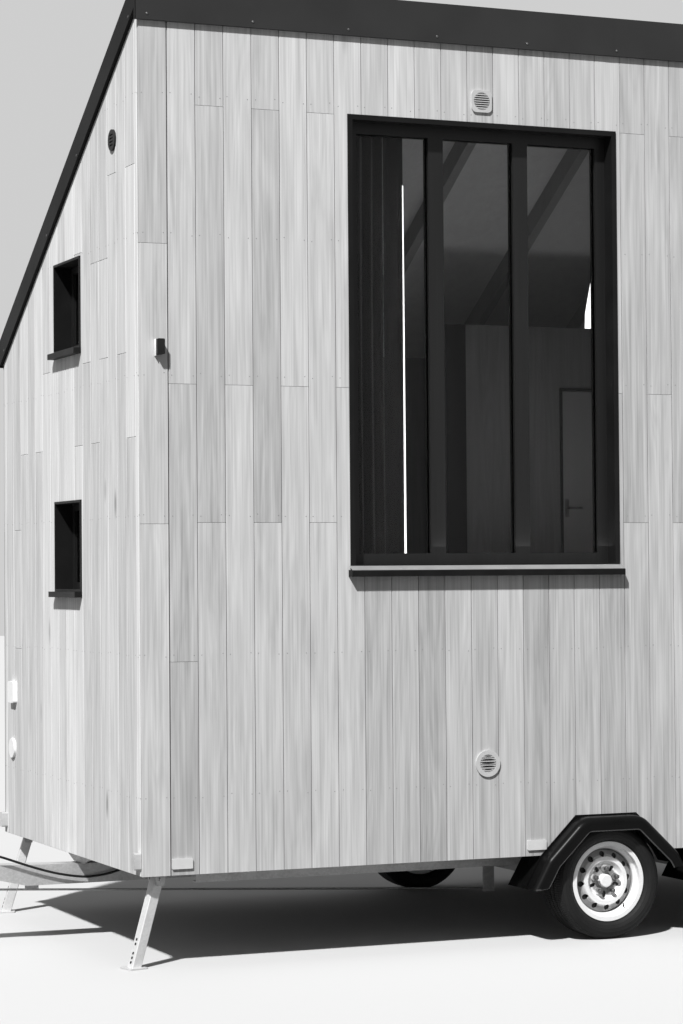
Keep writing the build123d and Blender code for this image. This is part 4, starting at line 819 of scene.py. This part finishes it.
def strew(name, master, spots, material, body="house"):
    copies = [copyAt(master, spot) for spot in spots]
    bpy.data.objects.remove(master)
    return finishPiece(join(copies), name, material, body, smooth=40)


nailLook = {"radius": 0.0023, "stand": 0.0005, "crown": 0.0003, "sides": 8, "fromSeam": 0.018,
            "firstRow": 0.335, "rowStep": 0.602, "rows": 6, "stray": 0.007, "seed": 9,
            "clearSide": 0.02, "clearBelow": 0.04, "clearAbove": 0.02, "underSideTrim": 0.02,
            "underRakeTrim": 0.03, "clearSmall": 0.03}


def nailSpots(start, end, firstSeam, topAt, holes):
    bounds = seamLines(start, end, firstSeam)
    spots = []
    hand = random.Random(nailLook["seed"])
    for low, high in zip(bounds, bounds[1:]):
        for edge in (low + nailLook["fromSeam"], high - nailLook["fromSeam"]):
            for row in range(nailLook["rows"]):
                along = edge + hand.uniform(-0.4, 0.4) * nailLook["stray"]
                height = nailLook["firstRow"] + row * nailLook["rowStep"]
                height += hand.uniform(-1, 1) * nailLook["stray"]
                inHole = any(a < along < b and c < height < d for a, b, c, d in holes)
                if high - low > 0.05 and height < topAt(along) and not inHole:
                    spots.append((along, height))
    return spots


def grown(low, high, axis, start):  # a node's box as a hole in a wall's own measures
    below, above = low.z - claddingZ - nailLook["clearBelow"], high.z - claddingZ + nailLook["clearAbove"]
    left, right = low[axis] - start - nailLook["clearSide"], high[axis] - start + nailLook["clearSide"]
    return (left, right, below, above)


length, width = rearX - frontX, lowY - highY
half = cladding["smallWindow"] / 2 + nailLook["clearSmall"]
smallHoles = {key: [(a - half, a + half, z - half, z + half) for a, z in places]
              for key, places in cladding["smallPlaces"].items()}
sideTop, lowTop = (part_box(f"{side}_side_roof_trim")[0].z - claddingZ - nailLook["underSideTrim"]
                   for side in ("high", "low"))


def endTop(along):
    return roofLine(highY + along, cladding["trimDepth"]) - claddingZ - nailLook["underRakeTrim"]


tallHole, doorway = grown(*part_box("window_surround"), 0, frontX), grown(*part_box("door_frame"), 1, highY)
walls = {
    "high": (length, cladding["sideFirstSeam"], lambda along: sideTop, [tallHole]),
    "low": (length, cladding["sideFirstSeam"], lambda along: lowTop, smallHoles["low"]),
    "front": (width, cladding["endFirstSeam"], endTop, smallHoles["front"]),
    "rear": (width, cladding["endFirstSeam"], endTop, smallHoles["rear"] + [doorway]),
}
for side, (reach, firstSeam, topAt, holes) in walls.items():
    spots = []
    for along, height in nailSpots(0, reach, firstSeam, topAt, holes):
        at = {"high": (frontX + along, highY), "low": (frontX + along, lowY),
              "front": (frontX, highY + along), "rear": (rearX, highY + along)}[side]
        spots.append(Vector((*at, claddingZ + height)))
    strew(f"{side}WallNails", makeHead(nailLook, side), spots, coated["nailSteel"])
print("nails driven")

screwLook = {"radius": 0.0055, "stand": 0.0022, "crown": 0.0016, "sides": 6, "fromEdge": 0.025,
             "rakeFromEdge": 0.018, "rakeSpots": (0.07, 0.84, 1.33, 2.10),
             "sideSpots": (0.036, 0.52, 0.97, 1.40, 1.85, 2.31, 2.76, 3.21, 3.66, 4.11, 4.56, 4.764)}
sideTrims = []  # side, the trim's outer face and its lower edge
screws = {}
for side, outer in (("high", 0), ("low", 1)):
    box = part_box(f"{side}_side_roof_trim")
    sideTrims.append((side, box[outer].y, box[0].z))
    height = box[0].z + screwLook["fromEdge"]
    screws[side] = [(frontX + x, box[outer].y, height) for x in screwLook["sideSpots"]]
for side, x in zip(("front", "rear"), (corner.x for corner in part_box("rake_trims"))):
    rake = [highY + y for y in screwLook["rakeSpots"]]
    screws[side] = [(x, y, roofLine(y, cladding["trimDepth"]) + screwLook["rakeFromEdge"]) for y in rake]
for side, spots in screws.items():
    strew(f"{side}TrimScrews", makeHead(screwLook, side), spots, coated["steelDark"])

# Lap plates where two lengths of side trim meet
lapLook = {"at": 2.244, "width": 0.050, "sheet": 0.0008}
for side, y, bottom in sideTrims:
    top = roofLine(highY if side == "high" else highY + width, 0)
    lap = cutBox((frontX + lapLook["at"], y - lapLook["sheet"], bottom),
                 (frontX + lapLook["at"] + lapLook["width"], y + lapLook["sheet"], top))
    soften(lap, 0.0003, 1)
    finishPiece(lap, f"{side}TrimLap", coated["sideTrimMetal"])
print("trims fixed")

# Wheel nuts and valves, on the bosses of each rim
wheelLook = {"radius": 0.0105, "stand": 0.009, "crown": 0.003, "sides": 6, "count": 5, "circle": 0.056,
             "turn": 18, "capOverBoss": 0.019, "valveRing": 0.150, "valveAngle": -52, "valveOut": 0.046,
             "valveLength": 0.032, "valveRadius": 0.0048, "valveTaper": 0.6, "valveLean": 0.75}
for end, side, outward, centre in wheels:
    wheel = f"{end}_{side}_side"
    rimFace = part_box(f"{wheel}_rim")[0 if outward < 0 else 1].y
    bossY = rimFace - outward * wheelLook["capOverBoss"]
    spots = []
    for n in range(wheelLook["count"]):
        angle = math.radians(wheelLook["turn"] + n * 360 / wheelLook["count"])
        step = Vector((math.cos(angle), 0, -outward * math.sin(angle))) * wheelLook["circle"]
        spots.append(Vector((centre.x, bossY, centre.z)) + step)
    strew(f"{wheel}_nuts", makeHead(wheelLook, side), spots, coated["steelDark"],
          f"{wheel}_wheel")
    angle = math.radians(wheelLook["valveAngle"])
    inward = Vector((-math.cos(angle), 0, outward * math.sin(angle)))
    foot = centre - inward * wheelLook["valveRing"] + Vector((0, outward * wheelLook["valveOut"], 0))
    lean = (inward * wheelLook["valveLean"] + Vector((0, outward, 0))).normalized()
    nothing()
    bpy.ops.mesh.primitive_cone_add(vertices=12, radius1=wheelLook["valveRadius"], location=(0, 0, 0),
                                    radius2=wheelLook["valveRadius"] * wheelLook["valveTaper"],
                                    depth=wheelLook["valveLength"])
    valve = bpy.context.object
    soften(valve, 0.0008, 2)
    valve.rotation_mode = "QUATERNION"
    valve.rotation_quaternion = lean.to_track_quat("Z", "Y")
    valve.location = foot + lean * wheelLook["valveLength"] / 3
    finishPiece(valve, f"{wheel}_valve", coated["leadSheath"], f"{wheel}_wheel")
print("wheel nuts and valves set")

# Black plates behind the vents of each rim: a brake drum's face, kept black as painted shade seen through the
# vents
shieldLook = {"outer": 0.140, "inner": 0.100, "behind": 0.052, "thickness": 0.002}
for end, side, outward, centre in wheels:
    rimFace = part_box(f"{end}_{side}_side_rim")[0 if outward < 0 else 1].y
    nothing()
    bpy.ops.mesh.primitive_circle_add(vertices=48, radius=shieldLook["outer"], fill_type="NGON",
                                      location=(centre.x, rimFace - outward * shieldLook["behind"], centre.z),
                                      rotation=(math.radians(90), 0, 0))
    shield = bpy.context.object
    place(shield)
    pickFaces(shield, lambda at, normal: True)
    bpy.ops.mesh.inset(thickness=shieldLook["outer"] - shieldLook["inner"])
    bpy.ops.mesh.delete(type="FACE")
    leaveEdit()
    modify(shield, "SOLIDIFY", thickness=shieldLook["thickness"], offset=0)
    finishPiece(shield, f"{end}_{side}_brakeDrumShade", coated["blackIron"],
                f"{end}_{side}_side_wheel")

# Black discs in the lock holes of each leg, painted shade for the holes' dark insides
holeShadeLook = {"radius": 0.0062, "stand": 0.0012, "lean": 17.1, "turn": 12, "pinBelow": 0.020,
               "footIn": -0.017, "footSide": 0.068, "tube": 0.045, "first": 0.022, "pitch": 0.020,
               "steps": (0, 1, 2, 4, 5)}
pinZ = claddingZ - holeShadeLook["pinBelow"]
run = pinZ * math.tan(math.radians(holeShadeLook["lean"]))
turned = math.radians(holeShadeLook["turn"])
for end, endX, way in (("front", frontX, -1), ("rear", rearX, 1)):
    for side, across in (("high", -1), ("low", 1)):
        footY = (lowY - highY) / 2 - holeShadeLook["footSide"]
        foot = Vector((endX - way * holeShadeLook["footIn"], across * footY, 0))
        leanWay = Vector((way * math.cos(turned), across * math.sin(turned), 0))
        pin = foot - leanWay * run + Vector((0, 0, pinZ))
        down = (foot - pin).normalized()
        out = (leanWay - down * leanWay.dot(down)).normalized()
        nothing()
        bpy.ops.mesh.primitive_cylinder_add(vertices=14, radius=holeShadeLook["radius"],
                                            depth=2 * holeShadeLook["stand"])
        holeShade = bpy.context.object
        pickFaces(holeShade, lambda at, normal: abs(normal.z) > 0.9)
        bpy.ops.mesh.inset(thickness=0.002)
        bpy.ops.transform.resize(value=(1, 1, 0.6))
        leaveEdit()
        holeShade.rotation_mode = "QUATERNION"
        holeShade.rotation_quaternion = out.to_track_quat("Z", "Y")
        place(holeShade)
        holes = [foot - down * (holeShadeLook["first"] + n * holeShadeLook["pitch"])
                 for n in holeShadeLook["steps"]]
        spots = [hole + out * face * holeShadeLook["tube"] / 2 for hole in holes for face in (-1, 1)]
        strew(f"{end}_{side}_legHoleShades", holeShade, spots, coated["leadSheath"],
              f"{end}_{side}_side_leg")
print("brake plates and holeShades set")

# A rolled bead along the lip of each mudguard and round its front tip, in plastic lighter than the guard's as
# a painted highlight
beadLook = {"radius": 0.0040, "band": 0.0605, "out": 0.0858, "tip": 0.022,
            "bends": (0.005, 0.021, 0.021, 0.005)}


def insetLine(points, inset):  # the guard's outline moved inwards, as in the part's source
    moved = []
    for a, b in zip(points, points[1:]):
        along = (Vector(b) - Vector(a)).normalized()
        inward = Vector((along.y, -along.x)) * inset
        moved.append((Vector(a) + inward, Vector(b) + inward))
    line = [moved[0][0]]
    for (a, b), (c, d) in zip(moved, moved[1:]):
        line.append(geometry.intersect_line_line_2d(a - (b - a), b + (b - a), c - (d - c), d + (d - c)))
    return line + [moved[-1][1]]


def eased(corner, before, after, reach):  # three control points that round one corner
    first, last = ((side - corner).normalized() * reach for side in (before, after))
    return [corner + first, corner, corner + last]


outline = [Vector(point) for point in cladding["wheelOutline"]]
lip = insetLine(cladding["wheelOutline"], beadLook["band"])
tipLow, tipHigh = outline[0], outline[-1]
first = geometry.intersect_line_line_2d(lip[0] - (lip[1] - lip[0]), lip[1], tipLow, tipHigh)
last = geometry.intersect_line_line_2d(lip[-2], lip[-1] + (lip[-1] - lip[-2]), tipLow, tipHigh)
beadLine = [tipLow + (first - tipLow) * 0.12] + eased(first, tipLow, lip[1], beadLook["tip"])
for n, reach in enumerate(beadLook["bends"]):
    after = lip[n + 2] if n < 3 else last
    before = lip[n] if n else first
    beadLine += eased(lip[n + 1], before, after, reach)
beadLine.append(last)
for end, side, outward, axle in wheels:
    lipY = (highY if side == "high" else lowY) + outward * beadLook["out"]
    guides = [(axle.x + at.x, lipY, axle.z + at.y) for at in beadLine]
    only(cordPiece("bead", guides, beadLook["radius"], 6, 2)[0])
    bpy.ops.object.convert(target="MESH")
    finishPiece(bpy.context.object, f"{end}_{side}_guardBead", coated["guardBeadPaintedHighlight"],
                smooth=50)
print("mudguard beads laid")


# Sloping top of the window sill in a light tone, a painted highlight where the sun catches it, from the
# surround down to the sill's front edge
sillLook = {"back": (-0.0065, 0.0165), "front": (-0.0405, -0.0020), "thickness": 0.0012}
low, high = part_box("window_sill")
back, front = sillLook["back"], sillLook["front"]
rise = math.atan2(back[1] - front[1], back[0] - front[0])
nothing()
middle = ((low.x + high.x) / 2, highY + (back[0] + front[0]) / 2, high.z + (back[1] + front[1]) / 2)
bpy.ops.mesh.primitive_plane_add(size=1, location=middle, rotation=(rise, 0, 0))
slope = bpy.context.object
slope.scale = (high.x - low.x - 0.002, math.hypot(back[0] - front[0], back[1] - front[1]), 1)
place(slope)
pickFaces(slope, lambda centre, normal: True)
bpy.ops.mesh.extrude_region_move(TRANSFORM_OT_translate={"value": (0, 0, sillLook["thickness"])})
leaveEdit()
soften(slope, 0.0003, 1)
finishPiece(slope, "sillSlope", coated["sillTopPaintedHighlight"])

# Black slips between the louvres of the two wall vents, painted shade in their openings: (height, length,
# thickness) from the vent's middle
slotLook = {
    "square": ((-25, 50, 5), (-15, 66, 5), (-5, 72, 5), (5, 72, 5), (15, 66, 5), (25, 50, 4)),
    "round": ((-27, 36, 5), (-13, 62, 7), (2, 66, 7), (17, 60, 7), (31, 30, 3)),
    "sunk": 0.0004, "depth": 0.0012,
}
ventPoints = [point.co.copy() for point in nodes["louvre_vents"].data.vertices]
for kind, above in (("square", True), ("round", False)):
    corners = [point for point in ventPoints if (point.z > 2) == above]
    middleX = (min(c.x for c in corners) + max(c.x for c in corners)) / 2
    middleZ = (min(c.z for c in corners) + max(c.z for c in corners)) / 2
    front = min(c.y for c in corners)
    slots = []
    for height, long, thick in slotLook[kind]:
        nothing()
        at = (middleX, front + slotLook["sunk"], middleZ + height / 1000)
        bpy.ops.mesh.primitive_cylinder_add(vertices=20, radius=0.5, depth=slotLook["depth"], location=at,
                                            rotation=(math.radians(90), 0, 0))
        slot = bpy.context.object
        slot.scale = (long / 1000, thick / 1000, 1)
        place(slot)
        soften(slot, 0.0002, 1)
        slots.append(slot)
    finishPiece(join(slots), f"{kind}VentShadeSlips", coated["membraneAndPaintedShade"])

# Dark upright at the free end of the partition
uprightLook = {"width": 0.107, "thickness": 0.008, "round": 0.003}
low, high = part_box("partition")
upright = cutBox((low.x, low.y - uprightLook["thickness"], low.z),
                 (low.x + uprightLook["width"], low.y, high.z))
soften(upright, uprightLook["round"], 2)
finishPiece(upright, "partitionUpright", woods["darkFrame"])

# Casing round the inner door
casingLook = {"width": 0.014, "proud": 0.010, "gap": 0.003}
low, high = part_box("inner_door")
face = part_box("partition")[0].y
w, g = casingLook["width"], casingLook["gap"]
spans = ((low.x - g - w, low.x - g, low.z), (high.x + g, high.x + g + w, low.z),
         (low.x - g, high.x + g, high.z + g))
parts = [cutBox((x1, face - casingLook["proud"], z1), (x2, face, high.z + g + w)) for x1, x2, z1 in spans]
for part in parts:
    soften(part, 0.002, 2)
finishPiece(join(parts), "innerDoorCasing", woods["darkFrame"])

# Outdoor lamp: its light mounting plate, and a white block filling the gap between its two halves as painted
# light
lampLook = {"plate": 0.0016, "foot": 0.006, "deep": 0.022, "side": 0.0045, "end": 0.004,
            "lens": (0.0242, 0.0278)}
low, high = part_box("outdoor_lamp")
side, end, (near, far) = lampLook["side"], lampLook["end"], lampLook["lens"]
plate = cutBox((low.x - lampLook["plate"], high.y - lampLook["deep"], low.z - lampLook["foot"]),
               (low.x, high.y, high.z))
lens = cutBox((low.x + side, low.y + near, low.z + end), (high.x - side, low.y + far, high.z - end))
for part in (plate, lens):
    soften(part, 0.0006, 2)
finishPiece(join([plate, lens]), "outdoorLampPlate", coated["coverPlastic"])
print("sill, casing and lamp details set")


# Curtain: one gathered length of cloth beside the window
curtainLook = {"folds": 5, "depth": 0.040, "rows": 48, "perFold": 16, "thickness": 0.0012, "inset": 0.004,
               "drift": 0.5, "driftTurn": 3.1, "swing": 0.42, "swingVaries": 0.08, "atTop": 0.75, "more": 0.25}
low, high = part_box("curtain")
nothing()
columns = curtainLook["folds"] * curtainLook["perFold"]
bpy.ops.mesh.primitive_grid_add(x_subdivisions=columns, y_subdivisions=curtainLook["rows"], size=1,
                                location=(low + high) / 2, rotation=(math.radians(90), 0, 0))
curtain = bpy.context.object
clothHeight = high.z - low.z - curtainLook["inset"]
curtain.scale = (high.x - low.x - curtainLook["inset"], clothHeight, 1)
place(curtain)
middleY = (low.y + high.y) / 2
for point in curtain.data.vertices:
    across = (point.co.x - low.x) / (high.x - low.x)
    down = (high.z - point.co.z) / (high.z - low.z)
    phase = across * curtainLook["folds"] * 2 * math.pi
    phase = phase + curtainLook["drift"] * math.sin(down * curtainLook["driftTurn"])
    swing = curtainLook["swing"] + curtainLook["swingVaries"] * math.sin(across * 9 + down * 4)
    deeper = curtainLook["atTop"] + curtainLook["more"] * down  # the folds open towards the floor
    point.co.y = middleY + curtainLook["depth"] * swing * math.sin(phase) * deeper


def rowLength(cloth):  # along the folds of the lowest row, which is the cloth's width laid flat
    foot = min(point.co.z for point in cloth.data.vertices)
    row = [point.co.copy() for point in cloth.data.vertices if point.co.z < foot + 0.0001]
    row.sort(key=lambda at: at.x)
    return sum((b - a).length for a, b in zip(row, row[1:]))


flatWidth = rowLength(curtain)
modify(curtain, "SOLIDIFY", thickness=curtainLook["thickness"], offset=0)
finishPiece(curtain, "curtainClothPaintedShade", curtainClothPaintedShade, smooth=60)
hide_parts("curtain")
print("curtain hung, cut", round(flatWidth, 3), "m wide")


# The curtain's leading edge: a narrow fold beyond the gathered part, its hem glowing as painted light
edgeLook = {"end": 1.302, "columns": 20, "rows": 40, "wave": 0.010, "thickness": 0.0012, "hemRadius": 0.0055,
            "hemLow": 1.359, "hemHigh": 3.030, "paintedGlow": 2.6, "turned": 0.014}
nothing()
bpy.ops.mesh.primitive_grid_add(x_subdivisions=edgeLook["columns"], y_subdivisions=edgeLook["rows"], size=1,
                                location=(0, 0, 0), rotation=(math.radians(90), 0, 0))
edge = bpy.context.object
edgeStart, edgeEnd = high.x + 0.001, frontX + edgeLook["end"]
edge.scale = (edgeEnd - edgeStart, clothHeight, 1)
edge.location = ((edgeStart + edgeEnd) / 2, middleY, (low.z + high.z) / 2)
place(edge)
for point in edge.data.vertices:
    across = (point.co.x - edgeStart) / (edgeEnd - edgeStart)
    wave = edgeLook["wave"] * math.sin(across * 2 * math.pi)
    point.co.y = middleY + wave - edgeLook["turned"] * across ** 3
edgeWidth = rowLength(edge)
modify(edge, "SOLIDIFY", thickness=edgeLook["thickness"], offset=0)
finishPiece(edge, "curtainEdge", curtainClothPaintedShade, smooth=60)

# the hem's cloth glows: painted light standing in for sun on the curtain's edge
paintedGlow, tree, shader, at = newMaterial("paintedLightCloth")
threads = useGroup(tree, dust, Vector=at, Scale=30.0, Specks=500.0)
feed(tree, shader, {"Base Color": tint(tree, threads["Speck"], 0.80, 0.86), "Roughness": 0.85,
                    "Emission Color": grey(1.0), "Emission Strength": edgeLook["paintedGlow"]})
nothing()
hemLow, hemHigh = edgeLook["hemLow"], edgeLook["hemHigh"]
at = (edgeEnd, middleY - edgeLook["turned"], claddingZ + (hemLow + hemHigh) / 2)
bpy.ops.mesh.primitive_cylinder_add(vertices=14, radius=edgeLook["hemRadius"], depth=hemHigh - hemLow,
                                    location=at)
hem = bpy.context.object
pickFaces(hem, lambda centre, normal: abs(normal.z) > 0.9)
bpy.ops.mesh.inset(thickness=0.002)
leaveEdit()
pickPoints(hem, lambda point: point.z > 0)
bpy.ops.transform.resize(value=(0.5, 0.5, 1))
leaveEdit()
finishPiece(hem, "curtainHem", paintedGlow, smooth=60)

# A panel under the rafters above the partition whose underside glows as painted light, and the latch of the
# inner door
panelLook = {"x": (2.830, 3.140), "y": (1.215, 1.700), "depth": 0.201, "thickness": 0.004,
             "edge": ((2.846, 1.220), (2.877, 1.331), (2.918, 1.436), (2.951, 1.523), (3.039, 1.696))}
slopeDown = math.cos(roofSlope)
middle = Vector((frontX + sum(panelLook["x"]) / 2, highY + sum(panelLook["y"]) / 2, 0))
middle.z = roofLine(middle.y, panelLook["depth"])
nothing()
bpy.ops.mesh.primitive_plane_add(size=1, location=middle, rotation=(-roofSlope, 0, 0))
panel = bpy.context.object
panel.scale = (panelLook["x"][1] - panelLook["x"][0], (panelLook["y"][1] - panelLook["y"][0]) / slopeDown, 1)
place(panel)
for (x1, y1), (x2, y2) in zip(panelLook["edge"], panelLook["edge"][1:]):
    pickFaces(panel, lambda centre, normal: True)
    bpy.ops.mesh.bisect(plane_co=(frontX + x1, highY + y1, 0), plane_no=(y1 - y2, x2 - x1, 0),
                        clear_outer=True)
    leaveEdit()
modify(panel, "SOLIDIFY", thickness=panelLook["thickness"], offset=-1)
soften(panel, 0.001, 1)
finishPiece(panel, "glowPanelPaintedLight", woods["insideBoards"])
panel.data.materials.append(paintedGlow)
for face in panel.data.polygons:  # only the underside glows, as painted light
    face.material_index = 1 if face.normal.z < -0.5 else 0

latchLook = {"plate": (0.022, 0.004, 0.090), "at": (2.562, 1.600), "bar": 0.006, "reach": 0.070,
             "barFrom": 0.040, "barTo": 0.028, "stem": 0.030}
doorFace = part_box("inner_door")[0].y
spot = Vector((frontX + latchLook["at"][0], doorFace, claddingZ + latchLook["at"][1]))
size = Vector(latchLook["plate"])
plate = cutBox(spot - Vector((size.x / 2, size.y, size.z / 2)), spot + Vector((size.x / 2, 0, size.z / 2)))
soften(plate, 0.0012, 2)
thin = latchLook["bar"]
bar = cutBox(spot + Vector((-thin, -latchLook["barFrom"], -thin)),
             spot + Vector((latchLook["reach"], -latchLook["barTo"], thin)))
stem = cutBox(spot + Vector((-thin, -latchLook["stem"], -thin)), spot + Vector((thin, 0, thin)))
soften(bar, 0.003, 3)
soften(stem, 0.003, 3)
finishPiece(join([plate, bar, stem]), "innerDoorLatch", coated["steelDark"])
print("room pieces set, curtain's edge", round(edgeWidth, 4), "m wide")


# Lighting lead: the same route as in the part's source, from its gland to the plug in its holder
leadLook = {"diameter": 0.011, "plugRun": 0.080}
glandLow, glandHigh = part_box("lead_gland")
plugLow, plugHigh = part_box("lead_plug")
leadStart = Vector((glandLow.x, (glandLow.y + glandHigh.y) / 2, (glandLow.z + glandHigh.z) / 2))
leadEnd = Vector((plugHigh.x, (plugLow.y + plugHigh.y) / 2, (plugLow.z + plugHigh.z) / 2))
route = [  # from the front face of the end wall, the plug's line and the cladding's lower edge
    (0.335, 0, -0.002), (0.290, 0, -0.042), (0.238, -0.001, -0.079), (0.180, -0.001, -0.094),
    (0.120, 0, -0.104), (0.054, 0.001, -0.107), (-0.060, 0.001, -0.088), (-0.155, 0, -0.061),
    (-0.250, -0.002, -0.028),
    (-0.343, -0.003, 0.007), (-0.430, -0.003, 0.028), (-0.520, -0.002, 0.040), (-0.620, -0.001, 0.046),
    (-0.720, 0, 0.049),
]
points = [leadStart] + [Vector((frontX, leadEnd.y, claddingZ)) + Vector(step) for step in route]
points += [leadEnd + Vector((leadLook["plugRun"], 0, 0)), leadEnd]
lead, spline = cordPiece("lightingLead", points, leadLook["diameter"] / 2, 8, 4)
lead.data.materials.append(coated["leadSheath"])
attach(lead, "house")
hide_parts("lighting_lead")
reliefLook = {"length": 0.034, "wide": 0.0088, "narrow": 0.0060, "rings": 5}


def strainRelief(name, at):  # a tapered sleeve round the lead, with loops cut across it
    nothing()
    bpy.ops.mesh.primitive_cone_add(vertices=20, radius1=reliefLook["wide"], radius2=reliefLook["narrow"],
                                    depth=reliefLook["length"], end_fill_type="NGON", location=(0, 0, 0))
    sleeve = bpy.context.object
    enterEdit()
    for n in range(2 * reliefLook["rings"]):
        bpy.ops.mesh.select_all(action="SELECT")
        height = (n + 1) * reliefLook["length"] / (2 * reliefLook["rings"] + 1) - reliefLook["length"] / 2
        bpy.ops.mesh.bisect(plane_co=(0, 0, height), plane_no=(0, 0, 1))
    leaveEdit()
    sleeve.rotation_euler = (0, math.radians(90 if at[1] > 0 else -90), 0)
    sleeve.location = at[0] + Vector((at[1] * reliefLook["length"] / 2, 0, 0))
    return finishPiece(sleeve, name, coated["leadSheath"], smooth=50)


strainRelief("glandRelief", (leadStart, -1))
plugRelief = strainRelief("plugRelief", (leadEnd, 1))
